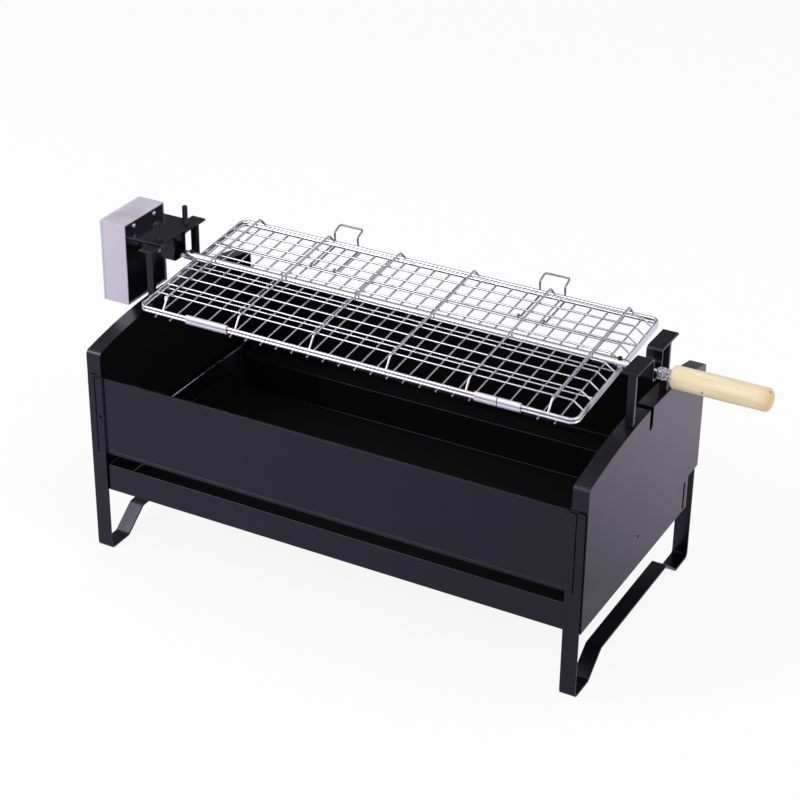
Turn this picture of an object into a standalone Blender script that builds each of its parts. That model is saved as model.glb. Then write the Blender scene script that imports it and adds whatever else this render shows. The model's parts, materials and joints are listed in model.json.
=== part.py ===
"""Tabletop charcoal spit roaster: a firebox on strip legs, with a wire basket on a motor-driven spit.

Metres, +Z up. The spit runs along X, with the gear motor at -X and the wooden handle at +X.
The front panel faces -Y. The origin is the middle of the outer box, on the ground.
"""

import math

import bmesh
import bpy
from mathutils import Matrix, Vector

# Clearance between neighbouring pieces, and how far welded wires sink into each other
CLEARANCE = 0.0003
WELD = 0.0002

# Firebox sheet metal
BODY_LENGTH = 0.600
BODY_DEPTH = 0.3084
SHEET = 0.0015
FLANGE = 0.018
PANEL_BOTTOM = 0.081
CORNER_HEIGHT = 0.249
CROWN_RISE = 0.018
NOTCH_WIDTH = 0.009
NOTCH_DEPTH = 0.026
RELIEF_DEPTH = 0.027
RELIEF_HEIGHT = 0.040
SLIT_WIDTH = 0.0045
SLIT_INSET = 0.008
SLIT_END_WALL = 0.003
PEEP_RADIUS = 0.002
PEEP_Y = -0.014
PEEP_RISE = 0.039

# Front and back panels
SIDE_RISE = 0.0454
SIDE_TOP_DROP = 0.029
SIDE_RETURN = 0.012
HEM_HEIGHT = 0.0035
BACK_HEM_HEIGHT = 0.007
HEM_PROUD = 0.0004

# Legs, each one bent strip
LEG_WIDTH = 0.018
LEG_THICKNESS = 0.0025
LEG_TOP_DROP = 0.027
FOOT_LENGTH = 0.033
FOOT_RAMP = 0.031
BAR_LIFT = 0.0235
LEG_BEND = 0.006

# Ash tray and its runners
TRAY_SHEET = 0.0012
TRAY_DROP = 0.002
TRAY_HEIGHT = 0.0325
TRAY_BACK_ROOM = 0.027
TRAY_CORNER = 0.004
RUNNER_LEDGE = 0.028
RUNNER_LIP = 0.0072
RUNNER_LIP_ROOM = 0.0145
RUNNER_END_ROOM = 0.001

# Spit saddles, their uprights and the hanger posts
SPIT_RISE = 0.0425
SADDLE_WIDTH = 0.018
SADDLE_SHEET = 0.0025
SADDLE_SPAN = 0.108
SADDLE_BEND = 0.004
SLOT_WIDTH = 0.020
SLOT_DEPTH = 0.0258
LEFT_SADDLE_INSET = 0.0135
RIGHT_SADDLE_INSET = 0.0065
UPRIGHT_WIDTH = 0.009
UPRIGHT_THICKNESS = 0.005
UPRIGHT_INSET = 0.0095
POST_RADIUS = 0.0035
POST_HEIGHT = 0.024
POST_SPACING = 0.052

# Spit rod, ferrule and handle
ROD_RADIUS = 0.004
DRIVE_SQUARE = 0.0056
DRIVE_LENGTH = 0.020
TANG_LENGTH = 0.062
FERRULE_LENGTH = 0.0155
FERRULE_RADIUS = 0.007
HANDLE_LENGTH = 0.106
HANDLE_RADIUS = 0.0125
HANDLE_ROUND = 0.005

# Wire basket
BASKET_END_ROOM = 0.040
BASKET_SIDE_ROOM = 0.0482
BASKET_TILT = math.radians(5.4)
BASKET_CORNER = 0.008
FRAME_RADIUS = 0.0021
RIB_RADIUS = 0.0015
MESH_RADIUS = 0.00125
RIB_COUNT = 6
RIB_END_INSET = 0.030
RIB_SHOULDER = 0.010
CROSS_COUNT = 26
CROSS_END_INSET = 0.02125
CROSS_FRONT_END = 0.0033
CROSS_REAR_END = 0.0012
RAISED_COUNT = 10
RAISED_PITCH = 0.0194
RAISED_END_RAMP = 0.012
RAISED_END_RUN = 0.003
FLAT_PITCH = 0.055
SLEEVE_RADIUS = 0.005
SLEEVE_OVERHANG = 0.010
SET_SCREW_RADIUS = 0.0025
SET_SCREW_INSET = 0.009
SET_SCREW_STAND = 0.0022
CLIP_LENGTH = 0.052
CLIP_OFFSET = 0.036
CLIP_SHEET = 0.0008
LATCH_RADIUS = 0.0011
LATCH_ARM_ROOM = 0.0041
LATCH_RISE = 0.018
LATCH_LEAN = 0.013
LATCH_LIFT = 0.0035
LATCH_BEND = 0.003
LATCH_CROSS_PLACES = {"left": 6, "right": 19.5}

# Gear motor
MOTOR_STANDOFF = 0.024
MOTOR_TOP_RISE = 0.0375
MOTOR_SIDE_ROOM = 0.0053
COVER_SHEET = 0.0012
PLATE_RECESS = 0.0015
PLATE_SHEET = 0.0025
GEAR_MODULE = 0.001
GEAR_WIDTH = 0.004
GEAR_GAP = 0.0005
OUTPUT_TEETH = 44
IDLER_PINION_TEETH = 10
IDLER_WHEEL_TEETH = 34
MOTOR_PINION_TEETH = 8
IDLER_ANGLE = math.radians(-55.0)
GEAR_PLATE_SHEET = 0.0015
PILLAR_RADIUS = 0.003
PILLAR_INSET = 0.006
CAN_RADIUS = 0.022
CAN_LENGTH = 0.0165
CAN_ROOM = 0.001
SHAFT_RADIUS = 0.00125
SHAFT_TAIL = 0.010
PIN_RADIUS = 0.0015
HUB_RADIUS = 0.007
SOCKET_END_ROOM = 0.0035
BUSH_WALL = 0.002
BUSH_RIM = 0.002
COVER_SCREW_RADIUS = 0.002
COVER_SCREW_HEAD = 0.0032
COVER_SCREW_HEAD_HEIGHT = 0.002
COVER_SCREW_SPACING = 0.040
COVER_TAB = 0.010
SWITCH_HEIGHT = 0.020
SWITCH_WIDTH = 0.0124
SWITCH_DEPTH = 0.0125
SWITCH_WALL = 0.0015
SWITCH_RIM = 0.002
SWITCH_RISE = 0.0125
ROCKER_TILT = math.radians(7.0)
GLAND_RADIUS = 0.0042
GLAND_RIM = 0.0023
GLAND_BORE = 0.0028
GLAND_LENGTH = 0.0065
GLAND_RISE = 0.016

# Facets on round pieces and wires
ROUND_SIDES = 20
WIRE_SIDES = 6
WIRE_FLAT = math.cos(math.pi / WIRE_SIDES)
ARC_STEPS = 12
BEND_STEPS = 3

# Firebox places
HALF_LENGTH = BODY_LENGTH / 2
HALF_DEPTH = BODY_DEPTH / 2
CROWN_HEIGHT = CORNER_HEIGHT + CROWN_RISE
CROWN_RADIUS = (HALF_DEPTH ** 2 + CROWN_RISE ** 2) / (2 * CROWN_RISE)
LEG_OUTER_X = HALF_LENGTH - SHEET - CLEARANCE
LEG_INNER_X = LEG_OUTER_X - LEG_WIDTH
FRONT_LEG_Y = -(HALF_DEPTH + CLEARANCE + LEG_THICKNESS / 2)
REAR_LEG_Y = HALF_DEPTH - SHEET - CLEARANCE - LEG_THICKNESS / 2
SIDE_END_X = LEG_INNER_X - CLEARANCE
SIDE_BOTTOM = PANEL_BOTTOM + SIDE_RISE
SIDE_TOP = CORNER_HEIGHT - SIDE_TOP_DROP
TRAY_BOTTOM = PANEL_BOTTOM - TRAY_DROP
TRAY_TOP = TRAY_BOTTOM + TRAY_HEIGHT
TRAY_HALF = SIDE_END_X - CLEARANCE
TRAY_SHELF_TOP = PANEL_BOTTOM + RELIEF_HEIGHT
BACK_BOTTOM = TRAY_SHELF_TOP + CLEARANCE + HEM_PROUD

# Spit and saddle places
SPIT_Z = CROWN_HEIGHT + SPIT_RISE
SLOT_FLOOR = SPIT_Z - ROD_RADIUS - CLEARANCE
SADDLE_TOP = SLOT_FLOOR + SLOT_DEPTH
SADDLE_X = {"left": LEFT_SADDLE_INSET - HALF_LENGTH, "right": HALF_LENGTH - RIGHT_SADDLE_INSET}
UPRIGHT_Y = SADDLE_SPAN / 2 - UPRIGHT_INSET
FERRULE_X = SADDLE_X["right"] + SADDLE_WIDTH / 2 + CLEARANCE
HANDLE_X = FERRULE_X + FERRULE_LENGTH + CLEARANCE
HANDLE_END = HANDLE_X + HANDLE_LENGTH
SOCKET_END = SADDLE_X["left"] - SADDLE_WIDTH / 2 - SOCKET_END_ROOM

# Basket places, in the basket's own tilted frame about the rod
BASKET_HALF = HALF_LENGTH - BASKET_END_ROOM
BASKET_SIDE = HALF_DEPTH - BASKET_SIDE_ROOM
UPPER_N = -(SLEEVE_RADIUS + CLEARANCE + FRAME_RADIUS * WIRE_FLAT)
LOWER_N = UPPER_N - FRAME_RADIUS * (1 + WIRE_FLAT) - CLEARANCE
RIB_N = ROD_RADIUS + CLEARANCE + RIB_RADIUS * WIRE_FLAT
RAISED_N = RIB_N - (RIB_RADIUS + MESH_RADIUS) * WIRE_FLAT - CLEARANCE
CROSS_N = LOWER_N - (FRAME_RADIUS + MESH_RADIUS) * WIRE_FLAT + WELD
FLAT_N = CROSS_N + 2 * MESH_RADIUS * WIRE_FLAT - WELD / 2
RAISED_BEND_X = BASKET_HALF - RAISED_END_RAMP
RAISED_END_X = RAISED_BEND_X - RAISED_END_RUN
RIB_PITCH = 2 * (BASKET_HALF - RIB_END_INSET) / (RIB_COUNT - 1)
CROSS_PITCH = 2 * (BASKET_HALF - CROSS_END_INSET) / (CROSS_COUNT - 1)
LAST_RIB_X = BASKET_HALF - RIB_END_INSET
CLIP_X = LAST_RIB_X - RIB_PITCH + CLIP_OFFSET
CLIP_BORE = FRAME_RADIUS + CLEARANCE
LATCH_HALF = CROSS_PITCH - LATCH_ARM_ROOM
LATCH_EYE = MESH_RADIUS + CLEARANCE + LATCH_RADIUS

# Gear motor places: a stack from the open edge of the cover towards -X
COVER_EDGE_X = -(HALF_LENGTH + MOTOR_STANDOFF)
PLATE_FRONT_X = COVER_EDGE_X - PLATE_RECESS
PLATE_BACK_X = PLATE_FRONT_X - PLATE_SHEET
OUTPUT_GEAR_X = PLATE_BACK_X - GEAR_GAP - CLEARANCE
WHEEL_X = OUTPUT_GEAR_X - GEAR_WIDTH - GEAR_GAP
GEAR_PLATE_X = WHEEL_X - GEAR_WIDTH - GEAR_GAP
CAN_X = GEAR_PLATE_X - GEAR_PLATE_SHEET - CLEARANCE
COVER_BACK_X = CAN_X - CAN_LENGTH - CLEARANCE
COVER_OUTER_X = COVER_BACK_X - COVER_SHEET
OUTPUT_REACH = GEAR_MODULE * (OUTPUT_TEETH + IDLER_PINION_TEETH) / 2
WHEEL_REACH = GEAR_MODULE * (IDLER_WHEEL_TEETH + MOTOR_PINION_TEETH) / 2
IDLER_Y = OUTPUT_REACH * math.cos(IDLER_ANGLE)
IDLER_Z = SPIT_Z + OUTPUT_REACH * math.sin(IDLER_ANGLE)
MOTOR_Z = IDLER_Z - math.sqrt(WHEEL_REACH ** 2 - IDLER_Y ** 2)
MOTOR_ANGLE = math.atan2(MOTOR_Z - IDLER_Z, -IDLER_Y)
COVER_TOP = SPIT_Z + MOTOR_TOP_RISE
COVER_BOTTOM = MOTOR_Z - CAN_RADIUS - CAN_ROOM - COVER_SHEET
COVER_HALF = IDLER_Y + GEAR_MODULE * (IDLER_WHEEL_TEETH / 2 + 1) + MOTOR_SIDE_ROOM
PLATE_HALF = COVER_HALF - COVER_SHEET - CLEARANCE
PLATE_TOP = COVER_TOP - COVER_SHEET - CLEARANCE
PLATE_BOTTOM = COVER_BOTTOM + COVER_SHEET + CLEARANCE
HANGER_BOTTOM = SADDLE_TOP + CLEARANCE
HANGER_TOP = HANGER_BOTTOM + PLATE_SHEET
HANGER_END_X = SADDLE_X["left"] + SADDLE_WIDTH / 2
COVER_SCREW_Z = (HANGER_TOP + PLATE_TOP) / 2
SWITCH_Z = SPIT_Z + SWITCH_RISE
SWITCH_FRONT_X = COVER_OUTER_X - CLEARANCE - SWITCH_RIM
ROCKER_X = SWITCH_FRONT_X + SWITCH_DEPTH / 2
GLAND_X = (COVER_OUTER_X + GEAR_PLATE_X) / 2
GLAND_Z = COVER_BOTTOM + GLAND_RISE

# The outer box's middle goes to the origin
CENTRE_X = (HANDLE_END + SWITCH_FRONT_X) / 2
CENTRE_Y = (HALF_DEPTH + FRONT_LEG_Y - LEG_THICKNESS / 2) / 2


def clear_scene():
    for old in list(bpy.data.objects):
        bpy.data.objects.remove(old, do_unlink=True)


def finish(name, colour, roughness, metallic):
    material = bpy.data.materials.new(name)
    material.use_nodes = True
    shader = material.node_tree.nodes["Principled BSDF"]
    shader.inputs["Base Color"].default_value = (*colour, 1.0)
    shader.inputs["Roughness"].default_value = roughness
    shader.inputs["Metallic"].default_value = metallic
    return material


def empty(name, parent, place, turn=0.0):
    """Empty that carries a moving piece; turn is about X."""
    holder = bpy.data.objects.new(name, None)
    bpy.context.scene.collection.objects.link(holder)
    holder.parent = parent
    holder.location = place
    holder.rotation_euler = (turn, 0.0, 0.0)
    return holder


def make(name, bm, material, parent, smooth=None, about=(0.0, 0.0, 0.0)):
    """Object from a bmesh; about is the parent's place in the frame that the mesh was drawn in."""
    bmesh.ops.translate(bm, verts=bm.verts, vec=-Vector(about))
    bmesh.ops.recalc_face_normals(bm, faces=bm.faces)
    mesh = bpy.data.meshes.new(name)
    bm.to_mesh(mesh)
    bm.free()
    mesh.materials.append(material)
    if smooth:
        mesh.shade_smooth()
        mesh.set_sharp_from_angle(angle=math.radians(smooth))
    piece = bpy.data.objects.new(name, mesh)
    bpy.context.scene.collection.objects.link(piece)
    piece.parent = parent
    return piece


def combine(piece, bm, operation, suffix, about=(0.0, 0.0, 0.0)):
    """Cut the bmesh's bodies out of a piece, or join them to it."""
    tool = make(f"{piece.name}_{suffix}", bm, piece.data.materials[0], piece.parent, about=about)
    tool.hide_render = True
    tool.display_type = "WIRE"
    modifier = piece.modifiers.new(suffix, "BOOLEAN")
    modifier.operation = operation
    modifier.object = tool


def prism(bm, outline, axis, low, high):
    """Closed prism: a flat outline pushed along an axis from low to high."""
    places = {
        "X": lambda u, v, w: (w, u, v),
        "Y": lambda u, v, w: (u, w, v),
        "Z": lambda u, v, w: (u, v, w),
    }
    place = places[axis]
    near = [bm.verts.new(place(u, v, low)) for u, v in outline]
    far = [bm.verts.new(place(u, v, high)) for u, v in outline]
    bm.faces.new(near)
    bm.faces.new(far)
    for i in range(len(outline)):
        j = (i + 1) % len(outline)
        bm.faces.new((near[i], near[j], far[j], far[i]))


def block(bm, x, y, z):
    """Box between pairs of faces."""
    prism(bm, [(x[0], y[0]), (x[1], y[0]), (x[1], y[1]), (x[0], y[1])], "Z", z[0], z[1])


def turned(bm, profile, centre=(0.0, 0.0), turn=None, sides=ROUND_SIDES):
    """Closed body turned about an X axis from (x, radius) points; a point on the axis ends it."""
    rings = []
    created = []
    for x, radius in profile:
        count = sides if radius > 0 else 1
        ring = []
        for k in range(count):
            angle = 2 * math.pi * (k + 0.5) / count
            y = centre[0] + radius * math.cos(angle)
            z = centre[1] + radius * math.sin(angle)
            ring.append(bm.verts.new((x, y, z)))
        rings.append(ring)
        created.extend(ring)
    closed_by_axis = profile[0][1] == 0 and profile[-1][1] == 0
    pairs = list(zip(rings, rings[1:]))
    if not closed_by_axis:
        pairs.append((rings[-1], rings[0]))
    for first, second in pairs:
        for k in range(sides):
            corners = [first[k % len(first)], first[(k + 1) % len(first)]]
            corners += [second[(k + 1) % len(second)], second[k % len(second)]]
            bm.faces.new(list(dict.fromkeys(corners)))
    if turn is not None:
        bmesh.ops.transform(bm, matrix=turn, verts=created)


def rounded(path, radius, steps=BEND_STEPS):
    """The same path with each corner swapped for a short arc."""
    points = [Vector(point) for point in path]
    result = [points[0]]
    for before, corner, after in zip(points, points[1:], points[2:]):
        into = (before - corner).normalized()
        out = (after - corner).normalized()
        half_turn = (math.pi - into.angle(out)) / 2
        trim = radius * math.tan(half_turn)
        start = corner + into * trim
        end = corner + out * trim
        for step in range(steps + 1):
            t = step / steps
            result.append(start * (1 - t) ** 2 + corner * 2 * t * (1 - t) + end * t ** 2)
    result.append(points[-1])
    return result


def strip(path, thickness):
    """Outline of a flat strip of even thickness bent along a 2-D middle line."""
    points = [Vector(point) for point in path]
    left = []
    right = []
    for i, point in enumerate(points):
        into = (point - points[i - 1]).normalized() if i > 0 else None
        out = (points[i + 1] - point).normalized() if i < len(points) - 1 else None
        along = ((into or out) + (out or into)).normalized()
        across = Vector((-along.y, along.x))
        reach = thickness / 2 / along.dot(into or out)
        left.append(point + across * reach)
        right.append(point - across * reach)
    return [tuple(point) for point in left + right[::-1]]


def wire(bm, path, radius, up, closed=False, flat_up=False):
    """Drawn wire along a path: even sides, mitred bends, capped ends."""
    points = [Vector(point) for point in path]
    count = len(points)
    runs = [(points[(i + 1) % count] - points[i]).normalized() for i in range(count - (not closed))]
    side = Vector(up)
    side = (side - runs[0] * side.dot(runs[0])).normalized()
    phase = math.pi / WIRE_SIDES if flat_up else 0.0
    rings = []
    for i, point in enumerate(points):
        run = runs[min(i, len(runs) - 1)]
        before = runs[i - 1] if closed or i > 0 else run
        if i > 0:
            side = before.rotation_difference(run) @ side
        mitre = (before + run).normalized()
        other = run.cross(side)
        ring = []
        for k in range(WIRE_SIDES):
            angle = phase + 2 * math.pi * k / WIRE_SIDES
            offset = (side * math.cos(angle) + other * math.sin(angle)) * radius
            offset -= run * (offset.dot(mitre) / run.dot(mitre))
            ring.append(bm.verts.new(point + offset))
        rings.append(ring)
    for i in range(len(runs)):
        first = rings[i]
        second = rings[(i + 1) % count]
        for k in range(WIRE_SIDES):
            j = (k + 1) % WIRE_SIDES
            bm.faces.new((first[k], first[j], second[j], second[k]))
    if not closed:
        bm.faces.new(rings[0])
        bm.faces.new(rings[-1])


def crown(offset):
    """Points along the arched top edge, a sheet's offset inside it, from front to rear."""
    half = HALF_DEPTH - offset
    radius = CROWN_RADIUS - offset
    points = []
    for step in range(ARC_STEPS + 1):
        y = half * (2 * step / ARC_STEPS - 1)
        points.append((y, CROWN_HEIGHT - CROWN_RADIUS + math.sqrt(radius ** 2 - y ** 2)))
    return points


def notch_outline():
    """Crown notch with a round bottom, open at the top."""
    radius = NOTCH_WIDTH / 2
    centre_z = CROWN_HEIGHT - NOTCH_DEPTH + radius
    points = []
    for step in range(2 * BEND_STEPS + 1):
        angle = math.pi * (1 + step / (2 * BEND_STEPS))
        points.append((radius * math.cos(angle), centre_z + radius * math.sin(angle)))
    top = CROWN_HEIGHT + NOTCH_WIDTH
    return points + [(radius, top), (-radius, top)]


def end_panel(name, hand, material, parent):
    """Arched end sheet with its flange bent in along the front, top and rear edge."""
    outer = hand * HALF_LENGTH
    inner = hand * (HALF_LENGTH - FLANGE)
    below = PANEL_BOTTOM - FLANGE
    beyond = hand * FLANGE
    bm = bmesh.new()
    prism(bm, crown(0.0) + [(HALF_DEPTH, PANEL_BOTTOM), (-HALF_DEPTH, PANEL_BOTTOM)], "X", inner, outer)
    panel = make(name, bm, material, parent, smooth=20)
    pocket = bmesh.new()
    inside = HALF_DEPTH - SHEET
    outline = crown(SHEET) + [(inside, below), (-inside, below)]
    prism(pocket, outline, "X", outer - hand * SHEET, inner - beyond)
    combine(panel, pocket, "DIFFERENCE", "pocket")
    cuts = bmesh.new()
    prism(cuts, notch_outline(), "X", inner - beyond, outer + beyond)
    relief = HALF_DEPTH - RELIEF_DEPTH
    relief_top = PANEL_BOTTOM + RELIEF_HEIGHT
    ends = sorted((inner - beyond, outer + beyond))
    block(cuts, ends, (relief, HALF_DEPTH + FLANGE), (below, relief_top))
    slit = relief - SLIT_INSET
    block(cuts, ends, (slit - SLIT_WIDTH, slit), (PANEL_BOTTOM + SLIT_END_WALL, relief_top - SLIT_END_WALL))
    hole = [(ends[0], 0.0), (ends[0], PEEP_RADIUS), (ends[1], PEEP_RADIUS), (ends[1], 0.0)]
    turned(cuts, hole, (PEEP_Y, PANEL_BOTTOM + PEEP_RISE), sides=8)
    combine(panel, cuts, "DIFFERENCE", "cuts")
    return panel


def side_panel(name, hand, bottom, hem, material, parent):
    """Front (-1) or back (+1) sheet with end returns and a hem along its top and bottom edge."""
    face = hand * (HALF_DEPTH - SHEET / 2)
    end = SIDE_END_X - SHEET / 2
    turn_in = hand * (HALF_DEPTH - SIDE_RETURN)
    path = [(-end, turn_in), (-end, face), (end, face), (end, turn_in)]
    bm = bmesh.new()
    prism(bm, strip(path, SHEET), "Z", bottom, SIDE_TOP)
    panel = make(name, bm, material, parent)
    hems = bmesh.new()
    reach = SIDE_END_X - 2 * SHEET
    depth = sorted((hand * (HALF_DEPTH - 2 * SHEET), hand * (HALF_DEPTH + HEM_PROUD)))
    block(hems, (-reach, reach), depth, (bottom - HEM_PROUD, bottom + hem))
    block(hems, (-reach, reach), depth, (SIDE_TOP - HEM_HEIGHT, SIDE_TOP + HEM_PROUD))
    combine(panel, hems, "UNION", "hems")
    return panel


def leg(name, hand, material, parent):
    """One strip: front leg, front foot, raised bar, rear foot and rear leg."""
    ground = LEG_THICKNESS / 2
    top = CORNER_HEIGHT - LEG_TOP_DROP
    bar = BAR_LIFT + LEG_THICKNESS / 2
    front_foot = FRONT_LEG_Y + FOOT_LENGTH
    rear_foot = REAR_LEG_Y - FOOT_LENGTH
    path = [(FRONT_LEG_Y, top), (FRONT_LEG_Y, ground), (front_foot, ground)]
    path += [(front_foot + FOOT_RAMP, bar), (rear_foot - FOOT_RAMP, bar)]
    path += [(rear_foot, ground), (REAR_LEG_Y, ground), (REAR_LEG_Y, top)]
    bm = bmesh.new()
    ends = sorted((hand * LEG_INNER_X, hand * LEG_OUTER_X))
    prism(bm, strip(rounded(path, LEG_BEND), LEG_THICKNESS), "X", ends[0], ends[1])
    return make(name, bm, material, parent, smooth=35)


def tray_outline(wall, top):
    """Cross-section of the tray across X, a wall's offset inside it, with round lower corners."""
    half = TRAY_HALF - wall
    floor = TRAY_BOTTOM + wall
    path = [(-half, top), (-half, floor), (half, floor), (half, top)]
    return [tuple(point) for point in rounded(path, TRAY_CORNER - wall)]


def ash_tray(material, parent, about):
    """Open tray with a taller rear wall, bent back into a shelf under the back panel."""
    front = -HALF_DEPTH
    back = HALF_DEPTH - TRAY_BACK_ROOM
    bm = bmesh.new()
    prism(bm, tray_outline(0.0, TRAY_TOP), "Y", front, back)
    tray = make("ash_tray", bm, material, parent, smooth=35, about=about)
    pocket = bmesh.new()
    outline = tray_outline(TRAY_SHEET, TRAY_TOP + TRAY_HEIGHT)
    prism(pocket, outline, "Y", front + TRAY_SHEET, back - TRAY_SHEET)
    combine(tray, pocket, "DIFFERENCE", "pocket", about)
    shelf_under = TRAY_SHELF_TOP - TRAY_SHEET
    shelf_end = HALF_DEPTH - SHEET
    wall_foot = TRAY_TOP - TRAY_CORNER
    outline = [(back - TRAY_SHEET, wall_foot), (back, wall_foot), (back, shelf_under)]
    outline += [(shelf_end, shelf_under), (shelf_end, TRAY_SHELF_TOP), (back - TRAY_SHEET, TRAY_SHELF_TOP)]
    shelf = bmesh.new()
    prism(shelf, outline, "X", -TRAY_HALF, TRAY_HALF)
    combine(tray, shelf, "UNION", "shelf", about)
    return tray


def tray_runner(name, hand, material, parent):
    """Channel on the inside of an end panel: a ledge under the tray, a web and a top lip."""
    web = hand * (LEG_OUTER_X - SHEET / 2)
    low = TRAY_BOTTOM - CLEARANCE - SHEET / 2
    high = TRAY_TOP + RUNNER_LIP_ROOM
    path = [(web - hand * RUNNER_LEDGE, low), (web, low), (web, high), (web - hand * RUNNER_LIP, high)]
    front = RUNNER_END_ROOM + SHEET - HALF_DEPTH
    back = REAR_LEG_Y - LEG_THICKNESS / 2 - RUNNER_END_ROOM
    bm = bmesh.new()
    prism(bm, strip(path, SHEET), "Y", front, back)
    return make(name, bm, material, parent)


def saddle(side, material, parent):
    """Strip bent down in the middle into the slot that the rod turns in."""
    plate = SADDLE_TOP - SADDLE_SHEET / 2
    floor = SLOT_FLOOR - SADDLE_SHEET / 2
    wall = (SLOT_WIDTH + SADDLE_SHEET) / 2
    path = [(-SADDLE_SPAN / 2, plate), (-wall, plate), (-wall, floor)]
    path += [(wall, floor), (wall, plate), (SADDLE_SPAN / 2, plate)]
    bm = bmesh.new()
    low = SADDLE_X[side] - SADDLE_WIDTH / 2
    prism(bm, strip(rounded(path, SADDLE_BEND), SADDLE_SHEET), "X", low, low + SADDLE_WIDTH)
    return make(f"{side}_saddle", bm, material, parent, smooth=35)


def upright(side, place, material, parent):
    """Flat bar from the arched flange up to the saddle's plate."""
    middle = -UPRIGHT_Y if place == "front" else UPRIGHT_Y
    near = abs(middle) - UPRIGHT_THICKNESS / 2
    crown_z = CROWN_HEIGHT - CROWN_RADIUS + math.sqrt(CROWN_RADIUS ** 2 - near ** 2)
    x = SADDLE_X[side]
    bm = bmesh.new()
    block(
        bm,
        (x - UPRIGHT_WIDTH / 2, x + UPRIGHT_WIDTH / 2),
        (middle - UPRIGHT_THICKNESS / 2, middle + UPRIGHT_THICKNESS / 2),
        (crown_z + CLEARANCE, SADDLE_TOP - SADDLE_SHEET - CLEARANCE),
    )
    return make(f"{side}_{place}_upright", bm, material, parent)


def hanger_post(place, material, parent):
    """Stud on the left saddle that the motor bracket hangs over."""
    y = POST_SPACING / 2 * (-1 if place == "front" else 1)
    chamfer = POST_RADIUS / 4
    low = SADDLE_TOP + CLEARANCE
    high = low + POST_HEIGHT
    profile = [(low, 0.0), (low, POST_RADIUS), (high - chamfer, POST_RADIUS)]
    profile += [(high, POST_RADIUS - chamfer), (high, 0.0)]
    upward = Matrix.Translation((SADDLE_X["left"], y, 0.0)) @ Matrix.Rotation(-math.pi / 2, 4, "Y")
    bm = bmesh.new()
    turned(bm, profile, turn=upward, sides=12)
    return make(f"{place}_hanger_post", bm, material, parent, smooth=35)


def spit_rod(material, parent):
    """Round rod with a square drive tip at the motor end and a tang inside the handle."""
    tip = SOCKET_END - DRIVE_LENGTH + CLEARANCE
    shoulder = SADDLE_X["left"] - SADDLE_WIDTH / 2 - CLEARANCE
    profile = [(shoulder, 0.0), (shoulder, ROD_RADIUS)]
    profile += [(HANDLE_X + TANG_LENGTH, ROD_RADIUS), (HANDLE_X + TANG_LENGTH, 0.0)]
    bm = bmesh.new()
    turned(bm, profile, sides=16)
    rod = make("spit_rod", bm, material, parent, smooth=35)
    drive = bmesh.new()
    half = DRIVE_SQUARE / 2
    block(drive, (tip, shoulder + ROD_RADIUS), (-half, half), (-half, half))
    combine(rod, drive, "UNION", "drive_tip")
    return rod


def handle_ferrule(material, parent):
    """Metal collar between the right saddle and the handle."""
    bore = ROD_RADIUS + CLEARANCE
    chamfer = FERRULE_LENGTH / 12
    end = FERRULE_X + FERRULE_LENGTH
    profile = [(FERRULE_X, bore), (FERRULE_X, FERRULE_RADIUS - chamfer)]
    profile += [(FERRULE_X + chamfer, FERRULE_RADIUS), (end - chamfer, FERRULE_RADIUS)]
    profile += [(end, FERRULE_RADIUS - chamfer), (end, bore)]
    bm = bmesh.new()
    turned(bm, profile)
    return make("handle_ferrule", bm, material, parent, smooth=30)


def wooden_handle(material, parent):
    """Turned grip with round ends and a blind hole for the rod's tang."""
    bore = ROD_RADIUS + CLEARANCE
    depth = HANDLE_X + TANG_LENGTH + CLEARANCE
    profile = [(depth, 0.0), (depth, bore), (HANDLE_X, bore)]
    for centre, start in ((HANDLE_X + HANDLE_ROUND, math.pi), (HANDLE_END - HANDLE_ROUND, math.pi / 2)):
        for step in range(BEND_STEPS + 1):
            angle = start - math.pi / 2 * step / BEND_STEPS
            radius = HANDLE_RADIUS - HANDLE_ROUND + HANDLE_ROUND * math.sin(angle)
            profile.append((centre + HANDLE_ROUND * math.cos(angle), radius))
    profile.append((HANDLE_END, 0.0))
    bm = bmesh.new()
    turned(bm, profile, sides=24)
    return make("wooden_handle", bm, material, parent, smooth=35)


def frame_loop(n):
    """Round-cornered loop of a basket half's border wire at height n."""
    centre_x = BASKET_HALF - BASKET_CORNER
    centre_y = BASKET_SIDE - BASKET_CORNER
    points = []
    for quarter, (sx, sy) in enumerate(((1, 1), (-1, 1), (-1, -1), (1, -1))):
        for step in range(BEND_STEPS + 1):
            angle = math.pi / 2 * (quarter + step / BEND_STEPS)
            x = sx * centre_x + BASKET_CORNER * math.cos(angle)
            y = sy * centre_y + BASKET_CORNER * math.sin(angle)
            points.append((x, y, n))
    return points


def border_wire(name, n, material, parent, about=(0.0, 0.0, 0.0)):
    """Closed border wire of a basket half."""
    bm = bmesh.new()
    wire(bm, frame_loop(n), FRAME_RADIUS, (0, 0, 1), closed=True, flat_up=True)
    return make(name, bm, material, parent, smooth=50, about=about)


def ramped_wire(name, path, radius, up, material, parent):
    """Wire of the raised half: a level run with a ramp at each end, down to the border wire."""
    points = [Vector(point) for point in path]
    trim = FRAME_RADIUS + CLEARANCE
    points[0] += (points[1] - points[0]).normalized() * trim
    points[-1] += (points[-2] - points[-1]).normalized() * trim
    bm = bmesh.new()
    wire(bm, rounded(points, 2 * radius, 2), radius, up)
    return make(name, bm, material, parent, smooth=50)


def upper_rib(number, material, parent):
    """Rib over the rod, from the front border to the rear one."""
    x = (number - 1) * RIB_PITCH - LAST_RIB_X
    shoulder = BASKET_SIDE - RIB_SHOULDER
    path = [(x, -BASKET_SIDE, UPPER_N), (x, -shoulder, RIB_N)]
    path += [(x, shoulder, RIB_N), (x, BASKET_SIDE, UPPER_N)]
    return ramped_wire(f"upper_rib_{number}", path, RIB_RADIUS, (1, 0, 0), material, parent)


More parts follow.
